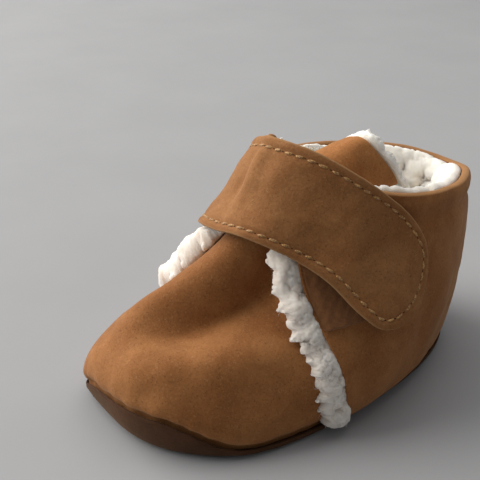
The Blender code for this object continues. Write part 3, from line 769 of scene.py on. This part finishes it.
def cloth(name, light, dark, size, roughness, sheen):
    """Fuzzy cloth or tape, with a fine broken texture size across."""
    inputs = {"Specular IOR Level": 0.2, "Sheen Weight": sheen, "Sheen Roughness": 0.5}
    g = Graph(name, {"Roughness": roughness, **inputs})
    grain = g.noise(size, 4.0, 0.65, 0.8)
    patches = g.ramp(g.noise(9 * MM, 3.0, 0.6), 0.3, 0.7)
    colour = g.mix(g.ramp(grain, 0.32, 0.70), dark, light)
    colour = g.mix(g.math("MULTIPLY", patches, 0.3), colour, dark)
    return g.finish(colour, g.bump(grain, 0.2 * MM, 0.8))


def thread_material(name, light, dark):
    """Twisted sewing thread."""
    g = Graph(name, {"Roughness": 0.55, "Sheen Weight": 0.2})
    ply = g.ramp(g.noise(0.35 * MM, 2.0, 0.5), 0.4, 0.62)
    return g.finish(g.mix(ply, dark, light), g.bump(ply, 0.08 * MM, 0.6))


# ---------------------------------------------------------------- upper


def vamp_piece(materials):
    shares = np.linspace(-0.012, 0.855, 96)
    start = shifted_edge(shares, EDGE_INNER, UNDERLAP)
    end = shifted_edge(shares, EDGE_OUTER, UNDERLAP)
    angles, share = spread(start, end, shares, np.linspace(0.0, 1.0, 150))
    base = envelope(angles, share)
    covered = cover_of_quarter(angles, share)
    height = relief(base, VAMP_FOLDS) * (1 - covered) + seam_gather(angles, share) - 0.35 * MM * covered
    outer = base + normal(angles, share) * height[..., None]
    inner = base + normal(angles, share) * (height - NUBUCK)[..., None]
    return sheet_object("vamp_nubuck", outer, inner, materials)


def cover_of_quarter(angles, share):
    """1 where the quarter's fleece lies on the vamp, falling to 0 in front of it."""
    outer = shifted_edge(share, EDGE_OUTER, -7 * MM)
    inner = shifted_edge(share, EDGE_INNER, -7 * MM)
    return smooth_step((angles - outer) / 0.08) + smooth_step((inner - angles) / 0.08)


def quarter_piece(materials):
    shares = np.concatenate([np.linspace(-0.012, 0.93, 72), np.linspace(0.94, 1.0, 12)])
    start = shifted_edge(shares, EDGE_OUTER, 0.0)
    end = 2 * math.pi + shifted_edge(shares, EDGE_INNER, 0.0)
    steps = np.concatenate([[0.0, 0.0008], np.linspace(0.0024, 0.9976, 296), [0.9992, 1.0]])
    angles, share = spread(start, end, shares, steps)
    base = envelope(angles, share)
    hold = edge_hold(angles, share)
    height = quarter_height(angles, share) + relief(base, QUARTER_FOLDS) * hold
    height += seam_gather(angles, share)
    roll = bell(share, 0.965, 0.035) - 0.7 * bell(share, 0.885, 0.025)
    height += 0.55 * MM * roll * hold
    out = normal(angles, share)
    outer = base + out * height[..., None]
    inner = base + out * (height - NUBUCK - collar_turn(share))[..., None]
    points, faces, edge = rounded_sheet(outer, inner, steps=6)
    # Edge marks stay only round the quarter's top: its rolled rim turns paler, partly wear and partly a
    # painted highlight
    edge = edge * np.where(points[:, 2] > 0.72 * points[:, 2].max(), 0.9, 0.0)
    turned = np.repeat(np.ravel(share)[None], 2, 0).ravel() > 0.93
    edge[: len(turned)][turned] = 0.0
    return new_object("quarter_nubuck", points, faces.tolist(), materials, edge=edge)


def edge_hold(angles, share):
    """Relief is held back at the quarter's front edges, where the strap and patches lie."""
    outer = shifted_edge(share, EDGE_OUTER, 0.0)
    inner = shifted_edge(share, EDGE_INNER, 0.0) + 2 * math.pi
    clear = smooth_step((angles - outer) / 0.5) * smooth_step((inner - angles) / 0.5)
    return 0.15 + 0.85 * clear


def pressed(share, strap):
    """How high fleece may stand, as a share: much less above the height where the strap lies on it."""
    return 1 - 0.85 * smooth_step((share - strap + 0.03) / 0.09)


def band_surface(edges, strap, proud, reach):
    """Surface of the fleece band as (distance in front of the quarter's edge, share of the height)."""

    def surface(front, share):
        span = np.clip((front + BAND_UNDER) / (reach + 4.2 * MM), 0.0, 1.0)
        crown = np.sin(math.pi * span) ** 0.6
        low = np.sqrt(smooth_step((share + 0.01) / 0.05))
        height = (proud + 0.4 * MM * np.sin(share * 23.0)) * crown * (0.35 + 0.65 * low)
        height = 0.2 * MM + height * pressed(share, strap)
        return layer(shifted_edge(share, edges, -front), share, height)

    return surface


def band_piece(name, edges, strap, proud, reach, seed, materials):
    """Fleece that shows in front of the quarter's edge: a puffy band with ragged locks thrown forwards."""
    surface = band_surface(edges, strap, proud, reach)
    rng = np.random.default_rng(seed)
    front, share = np.meshgrid(np.linspace(-BAND_UNDER, reach, 38), np.linspace(0.0, BAND_TOP, 260))
    front, share = fingers(front, share, reach, seed)
    outer = surface(front, share)
    height, tones = pile(outer, seed)
    press = pressed(share, strap)
    height = height * proud / (3.4 * MM) * press - 0.6 * MM * press
    hold = smooth_step((front + BAND_UNDER) / (2.5 * MM))
    angle = shifted_edge(share, edges, -front)
    outer = outer + normal(angle, share) * (height * hold)[..., None]
    inner = layer(angle, share, 0 * front - 0.1 * MM)
    if edges[0] > 0:
        outer, inner, tones = outer[:, ::-1], inner[:, ::-1], tones[:, ::-1]
    count = 900
    spot, height = rng.uniform(0.8 * MM, reach, count), rng.uniform(0.004, strap - 0.03, count)
    spot, height = fingers(spot, height, reach, seed)
    out = normal(shifted_edge(height, edges, -spot), height)
    onward = unit(surface(spot + 0.5 * MM, height) - surface(spot - 0.5 * MM, height))
    lean = 1.5 * onward * smooth_step(spot / reach - 0.3)[:, None]
    hairs = curls(surface(spot, height), out, lean, rng, 2.0 * MM, 0.05 * MM, 3.0, 1.2)
    return fleece_object(name, toned_sheet(outer, inner, tones), [hairs], materials)


def fingers(front, share, reach, seed):
    """Draws the front of a fleece band out into locks of uneven length, each sagging a little."""
    rng = np.random.default_rng(seed + 5)
    middles = np.cumsum(rng.uniform(0.040, 0.085, 30)) - 0.02
    strength = 0.0
    for middle in middles[middles < BAND_TOP]:
        size, width = rng.uniform(0.25, 1.0), rng.uniform(0.011, 0.021)
        strength = np.maximum(strength, size * bell(share, middle, width))
    pull = smooth_step(front / (0.8 * reach) - 0.2) ** 1.3
    return front + (3.6 * strength - 0.9) * MM * pull, np.maximum(share - 0.022 * strength * pull, 0.0)


def collar_turn(share):
    """Extra thickness of the nubuck where its top edge is turned in."""
    return 1.5 * MM * smooth_step((share - 0.90) / 0.08)


def lining_surface(angle, share):
    """Inner face of the fleece lining, which is fullest round the heel and rolls over at the mouth."""
    rear = smooth_step((np.degrees(np.abs(wrapped(angle))) - 60) / 45)
    thick = LINING_THICK * (0.65 + 0.35 * smooth_step((1.02 - share) / 0.12))
    thick = thick + MOUTH_FILL * rear * smooth_step((share - 0.45) / 0.40)
    thick = thick * np.sqrt(1 - np.clip((share - LINING_ROUND_FROM) / 0.15, 0.0, 0.985) ** 2)
    return layer(angle, share, lining_seat(angle, share) - thick)


def lining_seat(angle, share):
    """Height above the envelope where the lining touches the inside of the nubuck."""
    return quarter_height(angle, share) - (NUBUCK + CLEARANCE + collar_turn(share))


def lining_piece(materials):
    """Fleece inside the quarter: a lumpy sheet, thick with curls where the mouth shows it."""
    rng = np.random.default_rng(31)
    turn = np.linspace(0, math.pi / 2, 36)[1:]
    rolled = LINING_ROUND_FROM + (LINING_TOP - LINING_ROUND_FROM) * np.sin(turn)
    shares = np.concatenate([np.linspace(0.02, 0.50, 26), np.linspace(0.51, LINING_ROUND_FROM, 50), rolled])
    low = shifted_edge(shares, EDGE_OUTER, 0.8 * MM)
    high = 2 * math.pi + shifted_edge(shares, EDGE_INNER, 0.8 * MM)
    angle, share = spread(low, high, shares, np.linspace(0.0, 1.0, LINING_COLUMNS))
    inside = lining_surface(angle, share)
    height, tones = pile(inside, 41)
    height = height + MOUTH_LUMPS * puffs(inside, 4.6 * MM, 5.6 * MM, 45) * smooth_step((share - 0.45) / 0.25)
    top = smooth_step((share - 0.90) / 0.09)[..., None]
    inward = normal(angle, share) * (1 - 0.7 * top) - 0.6 * UP * top
    inside = inside - inward * ((height - 0.9 * MM) * smooth_step((share - 0.05) / 0.1))[..., None]
    outside = layer(angle, share, lining_seat(angle, share))
    base = toned_sheet(inside[:, ::-1], outside[:, ::-1], tones[:, ::-1], 0.6)
    tufts = []
    kinds = (
        # count, lowest and highest share, length and radius in mm, looseness
        (700, 0.66, 0.985, 1.5, 0.72, 1.3),
        (400, 0.84, 0.995, 1.4, 0.45, 1.1),
        (600, 0.80, 0.998, 1.5, 0.06, 1.2),
    )
    for count, lowest, highest, length, radius, loose in kinds:
        height = rng.uniform(lowest, highest, count)
        first = shifted_edge(height, EDGE_OUTER, 9 * MM)
        last = 2 * math.pi + shifted_edge(height, EDGE_INNER, 9 * MM)
        spot = first + (last - first) * rng.uniform(0.0, 1.0, count)
        out = normal(spot, height)
        top = smooth_step((height - 0.93) / 0.06)[:, None]
        roots = lining_surface(spot, height) + out * 0.1 * MM
        outward, lean = -out * (0.9 - 0.3 * top), UP * (0.25 + 0.35 * top)
        tufts.append(curls(roots, outward, lean, rng, length * MM, radius * MM, 4.0, loose))
    return fleece_object("quarter_fleece", base, tufts, materials)


def vamp_lining_piece(materials):
    shares = np.linspace(0.0, 0.845, 60)
    start = shifted_edge(shares, EDGE_INNER, UNDERLAP)
    end = shifted_edge(shares, EDGE_OUTER, UNDERLAP)
    angle, share = spread(start, end, shares, np.linspace(0.0, 1.0, 90))
    top = -NUBUCK - 2 * CLEARANCE
    base = envelope(angle, share)
    drop = np.minimum(relief(base, VAMP_FOLDS), 0.0)
    out = normal(angle, share)
    lumps = waves(base, 3.8 * MM, 51) * 0.5 * MM + waves(base, 1.7 * MM, 52) * 0.25 * MM
    outer = base + out * (top + drop)[..., None]
    inner = base + out * (top + drop - VAMP_FLEECE + lumps)[..., None]
    sheet = toned_sheet(outer, inner, np.full(inner.shape[:2], 0.6))
    rng = np.random.default_rng(33)
    count = 900
    place = rng.uniform(-1.0, 1.0, count) * np.radians(55)
    height = rng.uniform(0.12, 0.83, count)
    out = normal(place, height)
    sunk = np.minimum(relief(envelope(place, height), VAMP_FOLDS), 0.0)
    roots = layer(place, height, top + sunk - 3.0 * MM)
    tufts = curls(roots, -out, 0 * out, rng, 2.4 * MM, 0.6 * MM, 3.0)
    return fleece_object("vamp_fleece", sheet, [tufts], materials)


# ---------------------------------------------------------------- tongue


def tongue_piece(materials):
    columns = np.linspace(-TONGUE_NUBUCK_ACROSS, TONGUE_NUBUCK_ACROSS, 60)
    across, rise = np.meshgrid(columns, np.linspace(0.0, TONGUE_NUBUCK_RISE, 70))
    base = tongue_surface(across, rise)
    soft = 0.25 * MM * waves(base, 13 * MM, 61) + 0.07 * MM * waves(base, 5 * MM, 62)
    crown = 0.5 * MM * (1 - across**2) * smooth_step((rise - 0.4) / 0.4)
    height = 0.4 * MM - soft - crown * 0.5
    outer = tongue_layer(across, rise, height)
    return sheet_object("tongue_nubuck", outer, tongue_layer(across, rise, height + NUBUCK), materials)


def tongue_fleece_piece(materials):
    """Fleece behind the tongue; it stands out past the nubuck's edges as a soft white roll."""
    rng = np.random.default_rng(71)
    across, rise = np.meshgrid(np.linspace(-1.03, 1.05, 110), np.linspace(0.0, 1.035, 110))
    top = 0.4 * MM + NUBUCK + CLEARANCE
    height, tones = pile(tongue_layer(across, rise, top + 0 * rise), 72)
    out = smooth_step((rise - 0.30) / 0.2)
    inner = tongue_layer(across, rise, top + (TONGUE_FLEECE + height) * (0.35 + 0.65 * out))
    past = np.maximum(np.abs(across) / TONGUE_NUBUCK_ACROSS, rise / TONGUE_NUBUCK_RISE)
    beyond = smooth_step((past - 1.0) / 0.06)
    outer = tongue_layer(across, rise, top - (0.9 * MM + 0.8 * height) * beyond * out)
    base = toned_sheet(outer, inner, np.maximum(tones, 1 - beyond))
    tufts = []
    # count, length and radius in mm, looseness
    for count, length, radius, loose in ((260, 1.5, 0.85, 0.8), (420, 1.6, 0.05, 1.3)):
        at_side = rng.uniform(size=count) < 0.5
        along = rng.uniform(-1.0, 1.0, count)
        edge_across = np.where(at_side, np.sign(along) * 1.03, along * 1.03)
        edge_rise = np.where(at_side, rng.uniform(0.45, 1.02, count), 1.02)
        roots = tongue_layer(edge_across, edge_rise, top + rng.uniform(0.0, 3.0, count) * MM)
        centre = tongue_layer(0 * edge_across + 0.1, 0 * edge_rise + 0.55, 0 * edge_rise + top)
        away = unit(roots - centre)
        lean = 0.2 * rng.normal(size=(count, 3))
        roots = roots - away * 0.7 * MM
        tufts.append(curls(roots, away, lean, rng, length * MM, radius * MM, 3.6, loose))
        spot = rng.uniform(-0.97, 0.97, count)
        height = rng.uniform(0.25, 0.97, count)
        roots = tongue_layer(spot, height, top + 2.8 * MM + 0 * spot)
        out = unit(tongue_layer(spot, height, top + 4.0 * MM + 0 * spot) - roots)
        tufts.append(curls(roots, out, 0 * out, rng, length * MM, radius * MM, 3.2, loose))
    return fleece_object("tongue_fleece", base, tufts, materials)


# ---------------------------------------------------------------- strap


def strap_relief(along, across):
    """Soft creases where the strap turns over the instep, and a groove along its stitching."""
    edge = strap_edge_gap(along, across)
    groove = -0.34 * MM * bell(edge, STITCH_INSET, 0.75 * MM)
    rim = -0.30 * MM * smooth_step(1 - edge / (1.1 * MM))
    place = strap_point(along, across, 0 * along)
    soft = 0.30 * MM * waves(place, 15 * MM, 81) + 0.08 * MM * waves(place, 5.5 * MM, 82)
    inside = smooth_step(edge / (5 * MM))
    leaning = along - 0.035 * (across - 0.5)
    crease = 0.9 * bell(leaning, 0.492, 0.022) * smooth_step((across - 0.15) / 0.4)
    crease -= 0.8 * bell(leaning, 0.452, 0.020) * smooth_step((across - 0.1) / 0.5)
    crease -= 0.5 * bell(leaning, 0.535, 0.022) * smooth_step((across - 0.2) / 0.5)
    crease += 0.55 * bell(along, 0.49, 0.03) * bell(across, 0.22, 0.16)
    crease += 0.35 * bell(along, 0.66, 0.04) * np.sin(math.pi * across)
    return groove + rim + (soft + crease * MM) * (0.35 + 0.65 * inside)


def strap_sheet(start, end, low, high, inset, face):
    """Two grids of a length of the strap, at heights low and high above its own seat."""
    rows = max(8, int(round((end - start) * STRAP_LENGTH / (0.7 * MM))))
    steps = np.linspace(start, end, rows)
    if end > 0.999:
        body_end = 1 - inset / STRAP_LENGTH - STRAP_ROUNDED
        tip = STRAP_ROUNDED * np.cos(np.linspace(0.0, math.pi / 2, 30))[1:] ** 1.6
        steps = np.concatenate([np.linspace(start, body_end, rows), body_end + STRAP_ROUNDED - tip])
    half_turn = np.linspace(-1, 1, 46)
    side = np.sin(half_turn * math.pi / 2) * 0.5 + half_turn * 0.5
    along, side = np.meshgrid(steps, side, indexing="ij")
    reach = np.maximum(tip_reach(along + inset / STRAP_LENGTH, side), 0.015)
    across = 0.5 + 0.5 * side * (1 - 2 * inset / STRAP_WIDTH) * reach
    shape = strap_relief(along, across) * face
    return strap_point(along, across, high + shape), strap_point(along, across, low + shape * 0.6)


def cut_sheet(outer, inner, open_start, open_end):
    """A sheet whose ends may be left open, where the next length goes on."""
    points, faces, edge = rounded_sheet(outer, inner, bulge=0.5)
    rows, columns = outer.shape[:2]
    ring = border(rows, columns)
    size = 2 * rows * columns
    between = (ring[:, 1] > 0) & (ring[:, 1] < columns - 1)
    keep = np.ones(len(faces), bool)
    for is_open, row in ((open_start, 0), (open_end, rows - 1)):
        if not is_open:
            continue
        at_end = np.zeros(len(points), bool)
        at_end[size:] = np.tile((ring[:, 0] == row) & between, (len(points) - size) // len(ring))
        keep &= ~at_end[faces].any(axis=1)
        edge[:size].reshape(2, rows, columns)[:, row, 1:-1] = 0.0
    return points, faces[keep].tolist(), edge


def strap_cuts():
    """The strap's visible lengths: each holds one bend line, and they meet between the lines."""
    first, second, third = STRAP_SPLITS
    stops = (0.0, (first + second) / 2, (second + third) / 2, 1.0)
    return zip(stops, stops[1:])


def strap_pieces(face_materials, back_materials, thread_materials):
    stands_for = (("strap_anchor",), ("strap_bridge",), ("strap_shoulder", "strap_tab"))
    seat = STRAP_BACKING + CLEARANCE
    layers = (
        # name, lower and upper height, distance inside the strap's outline, share of the relief, materials
        ("strap_nubuck", seat, seat + STRAP_FACE, 0.0, 1.0, face_materials),
        ("strap_backing", 0.0, STRAP_BACKING, 0.7 * MM, 0.5, back_materials),
    )
    for k, (start, end) in enumerate(strap_cuts()):
        made = []
        for name, low, high, inset, face, materials in layers:
            top, bottom = strap_sheet(start, end, low, high, inset, face)
            points, faces, edge = cut_sheet(top, bottom, k > 0, k < 2)
            made.append(new_object(f"{name}_{k + 1}", points, faces, materials, edge=edge))
        made.append(strap_stitches(k, start, end, thread_materials))
        near, far = strap_point(STRAP_SPLITS[k] + np.array([-0.05, 0.05]), np.full(2, 0.5), np.zeros(2))
        for obj in made:
            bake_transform(obj)
        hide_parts(*stands_for[k])
        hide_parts(*(n + "_backing" for n in stands_for[k]))


def strap_outline(inset):
    """Places (along, across) round the strap's edge, this far inside it, from the sewn end and back."""
    lift = inset / STRAP_WIDTH
    turn = np.linspace(-math.pi / 2, math.pi / 2, 161)[1:-1]
    length = np.where(turn < 0, STRAP_ROUND_LOW, STRAP_ROUND_TOP)
    along = 1 - length + (length - inset / STRAP_LENGTH) * np.abs(np.cos(turn)) ** (2 / 2.5)
    low = np.linspace(0.0, 1 - STRAP_ROUND_LOW, 260)
    high = np.linspace(1 - STRAP_ROUND_TOP, 0.0, 260)
    runs = ((low, 0 * low + lift), (along, 0.5 + (0.5 - lift) * np.sin(turn)), (high, 0 * high + 1 - lift))
    return np.concatenate([np.stack(run, 1) for run in runs])


def strap_edge_gap(along, across):
    """How far inside its outline a place on the strap lies, measured on its flat pattern."""
    size = np.array([STRAP_LENGTH, STRAP_WIDTH])
    rim = strap_outline(0.0) * size
    place = np.stack([np.ravel(along), np.ravel(across)], 1) * size
    gaps = np.linalg.norm(place[:, None] - rim[None], axis=-1).min(axis=1)
    return np.minimum(gaps, place[:, 0]).reshape(np.shape(along))


def stitches(path, out, jitter, rng):
    """A row of stitches along a path of points: arched threads, and dark discs of painted shade for the
    needle holes between them.
    """
    steps = np.linalg.norm(np.diff(path, axis=0), axis=1)
    place = np.concatenate([[0.0], np.cumsum(steps)])
    count = max(1, int(place[-1] // STITCH_PITCH))
    pitch = place[-1] / count
    share = np.linspace(0, 1, THREAD_RINGS)
    arch = np.sin(math.pi * share)
    tube = tube_faces(THREAD_RINGS, THREAD_SIDES)
    disc = [(j, (j + 1) % THREAD_SIDES, THREAD_SIDES) for j in range(THREAD_SIDES)]
    parts = []

    def at(where):
        p = np.array([np.interp(where, place, path[:, k]) for k in range(3)]).T
        n = unit(np.array([np.interp(where, place, out[:, k]) for k in range(3)]).T)
        return p, n

    for k in range(count):
        begin = (k + 0.13 + rng.uniform(-jitter, jitter)) * pitch
        finish = (k + 0.87 + rng.uniform(-jitter, jitter)) * pitch
        p, n = at(np.linspace(begin, finish, THREAD_RINGS))
        swing = unit(np.cross(n, p[-1] - p[0])) * rng.uniform(0.08, 0.26) * MM
        rise = THREAD * (1.15 * arch**0.6 - 0.75)
        p = p + n * rise[:, None] + swing * np.linspace(-1, 1, THREAD_RINGS)[:, None]
        along = unit(np.gradient(p, axis=0))
        side = unit(np.cross(along, n))
        wide = THREAD * (0.75 + 0.45 * arch)
        ring = rings_of(side, 0.85 * np.cross(side, along), THREAD_SIDES) * wide[:, None, None]
        parts.append(((p[:, None] + ring).reshape(-1, 3), tube, np.zeros(len(tube), int)))
        # A dark disc at each needle hole: painted shade
        hole, n = at(np.array([(k + 1.0) * pitch]))
        first = unit(np.cross(n, p[-1] - p[0]))
        ring = rings_of(0.7 * first, 1.5 * np.cross(n, first), THREAD_SIDES)[0] * 0.30 * MM
        points = np.concatenate([hole + n * 0.02 * MM + ring, hole + n * 0.05 * MM])
        parts.append((points, disc, np.ones(len(disc), int)))
    return joined(parts)


def strap_stitches(k, start, end, materials):
    """The part of the strap's stitching that lies on one of its lengths."""
    rng = np.random.default_rng(90 + k)
    face = STRAP_BACKING + CLEARANCE + STRAP_FACE
    route = strap_outline(STITCH_INSET)
    route = route[(route[:, 0] >= start - 1e-9) & (route[:, 0] <= end + 1e-9)]
    runs = [route[route[:, 1] < 0.5], route[route[:, 1] >= 0.5]] if k < 2 else [route]
    if k == 0:
        across = np.linspace(0.11, 0.89, 40)
        runs += [np.stack([0 * across + place, across], 1) for place in SEWN_ROWS]
    parts = []
    for run in runs:
        height = face + strap_relief(run[:, 0], run[:, 1])
        path = strap_point(run[:, 0], run[:, 1], height)
        out = unit(path - strap_point(run[:, 0], run[:, 1], height - 2 * MM))
        parts.append(stitches(path, out, 0.05, rng))
    points, faces, slots = joined(parts)
    return new_object(f"strap_thread_{k + 1}", points, faces, materials, slots)


# ---------------------------------------------------------------- patches, sole, footbed


def patch_piece(name, edges, rear, materials):
    """Patch on the quarter from its front edge back to the rear angle, thinned to nothing at the front."""
    shares = np.linspace(0.53, 0.775, 40)
    steps = np.linspace(0.0, 1.0, 60)
    start = shifted_edge(shares, edges, 0.45 * MM)
    angle, share = spread(start, np.full(len(shares), math.radians(rear)), shares, steps)
    thick = PATCH * (0.15 + 0.85 * smooth_step(steps / 0.12))
    if edges[0] < 0:
        angle, thick = angle[:, ::-1], thick[::-1]
    base = quarter_height(angle, share) + 1.5 * CLEARANCE
    fuzz = 0.06 * MM * waves(envelope(angle, share), 2.0 * MM, 95)
    return sheet_object(name, layer(angle, share, base + thick + fuzz), layer(angle, share, base), materials)


def hook_piece(materials):
    """Hook tape under the tab: a backing set with rows of small hooks."""
    along, side = np.meshgrid(np.linspace(0.80, 0.955, 24), np.linspace(-0.84, 0.84, 20), indexing="ij")
    across = 0.5 + 0.5 * side * tip_reach(along + 0.035, side)
    over = strap_point(along, across, 0 * along - CLEARANCE)
    under = strap_point(along, across, 0 * along - CLEARANCE - 0.45 * HOOK)
    points, faces, edge = rounded_sheet(over, under)
    u, v = np.meshgrid(np.linspace(0.81, 0.94, 13), np.linspace(-0.8, 0.8, 14), indexing="ij")
    u, v = u.ravel(), v.ravel()
    v = 0.5 + 0.42 * v * tip_reach(u + 0.04, v)
    roots = strap_point(u, v, 0 * u - CLEARANCE - 0.40 * HOOK)
    down = unit(roots - strap_point(u, v, 0 * u + 1 * MM))
    rng = np.random.default_rng(97)
    hooks = curls(roots, 4 * down, 0 * down, rng, 0.55 * MM, 0.11 * MM, 2.5, sides=4, rings=4)
    points, faces, _ = joined([(points, faces.tolist(), edge), hooks])
    return new_object("hook_tape", points, faces, materials)


def dish(ring):
    """Share of the way up to the seam: 0 over the sole's flat middle, 1 at its edge, where ring is 1."""
    return np.maximum(0.0, (ring - FLAT_SHARE) / (1 - FLAT_SHARE)) ** DISH_POWER


def dished(ring, angle):
    """Height of the sole's under face."""
    return (seam_height(angle) - OUTSOLE_THICKNESS) * dish(ring)


def sole_piece(materials):
    """Thin suede sole, dished up to the seam, its edge slightly gathered."""
    count = 180
    angles = 2 * math.pi * np.arange(count) / count
    x, y = outline(angles)
    spans = ((0.06, 0.86, 12), (0.89, 0.94, 4), (0.95, 1.0, 11))
    rings = np.concatenate([np.linspace(*span) for span in spans])
    low = []
    for ring in rings:
        under = dished(ring, angles) + np.maximum(0.22 * MM * ring**8 * pucker(angles), 0.0) * dish(ring)
        low.append(np.stack([x * ring + SHIFT[0], y * ring + SHIFT[1], under], -1))
    low = np.concatenate(low)
    points = np.concatenate([low, low + OUTSOLE_THICKNESS * UP])
    faces = []
    half = len(low)
    last = half - count
    for a in range(0, last, count):
        b = a + count
        for j in range(count):
            n = (j + 1) % count
            faces.append((a + n, b + n, b + j, a + j))
            faces.append((half + a + j, half + b + j, half + b + n, half + a + n))
    for j in range(count):
        n = (j + 1) % count
        faces.append((last + j, last + n, half + last + n, half + last + j))
    faces.append(tuple(range(count)))
    faces.append(tuple(half + j for j in reversed(range(count))))
    return new_object("sole_suede", points, faces, materials, edge=np.zeros(len(points)))


def footbed_piece(materials):
    """Fleece-topped insole that fills the bottom of the shoe."""
    rng = np.random.default_rng(35)
    count = 120
    angles = 2 * math.pi * np.arange(count) / count
    x, y = outline(angles)
    inset = 1 - FOOTBED_INSET / np.hypot(x, y)
    low = []
    for ring in np.linspace(0.05, 1.0, 20):
        reach = ring * inset
        under = dished(reach, angles) + OUTSOLE_THICKNESS + 2 * CLEARANCE
        low.append(np.stack([x * reach + SHIFT[0], y * reach + SHIFT[1], under], -1))
    low = np.array(low)
    low = np.concatenate([low, low[:, :1]], axis=1)
    high = low + FOOTBED_FLEECE * UP
    high[..., 2] += waves(high, 3.6 * MM, 36) * 0.35 * MM + waves(high, 1.6 * MM, 37) * 0.2 * MM
    base = toned_sheet(high[::-1], low[::-1], np.full(high.shape[:2], 0.6))
    count = 1700
    ring = np.sqrt(rng.uniform(0.0, 0.93, count))
    pick = rng.uniform(0, 2 * math.pi, count)
    x, y = outline(pick)
    z = dished(ring, pick) + OUTSOLE_THICKNESS + 3.8 * MM
    roots = np.stack([x * ring * 0.93, y * ring * 0.93, z], -1) + SHIFT
    up = np.tile(UP, (count, 1))
    tufts = curls(roots, up, 0 * up, rng, 2.3 * MM, 0.62 * MM, 3.2)
    return fleece_object("footbed_fleece", base, [tufts], materials)


# ---------------------------------------------------------------- scene


def area_light(name, place, size, energy, colour):
    data = bpy.data.lights.new(name, "AREA")
    data.shape = "DISK"
    data.size = size
    data.energy = energy
    data.color = colour
    obj = bpy.data.objects.new(name, data)
    obj.location = place
    obj.rotation_euler = (Vector(LIGHT_CENTRE) - Vector(place)).to_track_quat("-Z", "Y").to_euler()
    bpy.context.scene.collection.objects.link(obj)


def build_camera():
    azimuth, elevation = math.radians(CAMERA_AZIMUTH), math.radians(CAMERA_ELEVATION)
    flat = math.cos(elevation)
    away = Vector((math.sin(azimuth) * flat, -math.cos(azimuth) * flat, math.sin(elevation)))
    data = bpy.data.cameras.new("camera")
    data.sensor_width = 36.0
    data.lens = CAMERA_LENS
    data.clip_start = 0.01
    obj = bpy.data.objects.new("camera", data)
    obj.location = Vector(CAMERA_TARGET) + away * CAMERA_DISTANCE
    obj.rotation_euler = (-away).to_track_quat("-Z", "Y").to_euler()
    bpy.context.scene.collection.objects.link(obj)
    bpy.context.scene.camera = obj


def build_floor():
    g = Graph("floor_paper", {"Roughness": 0.85})
    tint = g.ramp(g.noise(60 * MM, 3.0, 0.5), 0.2, 0.8)
    made = g.finish(g.mix(tint, *FLOOR_COLOURS))
    half = FLOOR_WIDTH / 2
    points = [(-half, -half, 0), (half, -half, 0), (half, half, 0), (-half, half, 0)]
    floor = new_object("floor", points, [(0, 1, 2, 3)], [made])


def build_world():
    world = bpy.data.worlds.new("studio")
    world.use_nodes = True
    back = world.node_tree.nodes["Background"]
    back.inputs["Color"].default_value = WORLD_COLOUR
    back.inputs["Strength"].default_value = WORLD_STRENGTH
    bpy.context.scene.world = world
    bpy.context.scene.view_settings.view_transform = "Standard"


def build_materials():
    """Every material of the bootie, by name."""
    made = {name: nubuck(name, *look) for name, look in NUBUCKS.items()}
    made.update({name: fleece(name, *look) for name, look in FLEECES.items()})
    made.update({name: cloth(name, *look) for name, look in CLOTHS.items()})
    made["thread_gold"] = thread_material("thread_gold", *THREAD_COLOURS)
    return made


def main():
    build_camera()
    made = build_materials()
    tan, cream, loop = ([made[name]] for name in ("nubuck_tan", "fleece_cream", "loop_cloth"))
    place(vamp_piece(tan), "upper", "nubuck", "vamp")
    place(quarter_piece(tan), "upper", "nubuck", "quarter")
    place(lining_piece(cream), "upper", "fleece", "quarter_lining")
    for band in BANDS:
        place(band_piece(*band, [made["fleece_band"]]), "upper", "fleece")
    place(vamp_lining_piece(cream), "upper", "fleece", "vamp_lining")
    place(patch_piece("loop_cloth", EDGE_OUTER, 79.0, loop), "upper", "loop_cloth", "loop_patch")
    place(patch_piece("anchor_cloth", EDGE_INNER, -70.0, loop), "upper", "loop_cloth", "anchor_patch")
    place(sole_piece([made["sole_suede"]]), "upper", "sole_suede", "outsole")
    place(footbed_piece(cream), "upper", "fleece", "footbed")
    stitching = [made["thread_gold"], made["needle_hole_painted_shade"]]
    strap_pieces([made["nubuck_strap"]], [made["strap_backing"]], stitching)
    place(hook_piece([made["hook_tape"]]), "strap_tab", "hook_tape", "hook_patch")
    blend_tongue(tongue_piece([made["nubuck_tongue_painted_light"]]), ("tongue_base", "tongue_flap"))
    blend_tongue(tongue_fleece_piece(cream), ("tongue_base_lining", "tongue_flap_lining"))
    build_floor()
    build_world()
    for light in LIGHTS:
        area_light(*light)


def place(obj, body, slot, *nodes):
    """Sets a piece on a body and hides the part's nodes that it stands for; the material slot is not used."""
    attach(obj, body)
    if nodes:
        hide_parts(*nodes)


def blend_tongue(obj, nodes):
    """Bakes the tongue piece in place and hides the part's tongue nodes that it stands for."""
    near, far = tongue_surface(np.zeros(2), TONGUE_SPLIT + np.array([-0.14, 0.14]))
    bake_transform(obj)
    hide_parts(*nodes)


main()
bpy.context.view_layer.update()
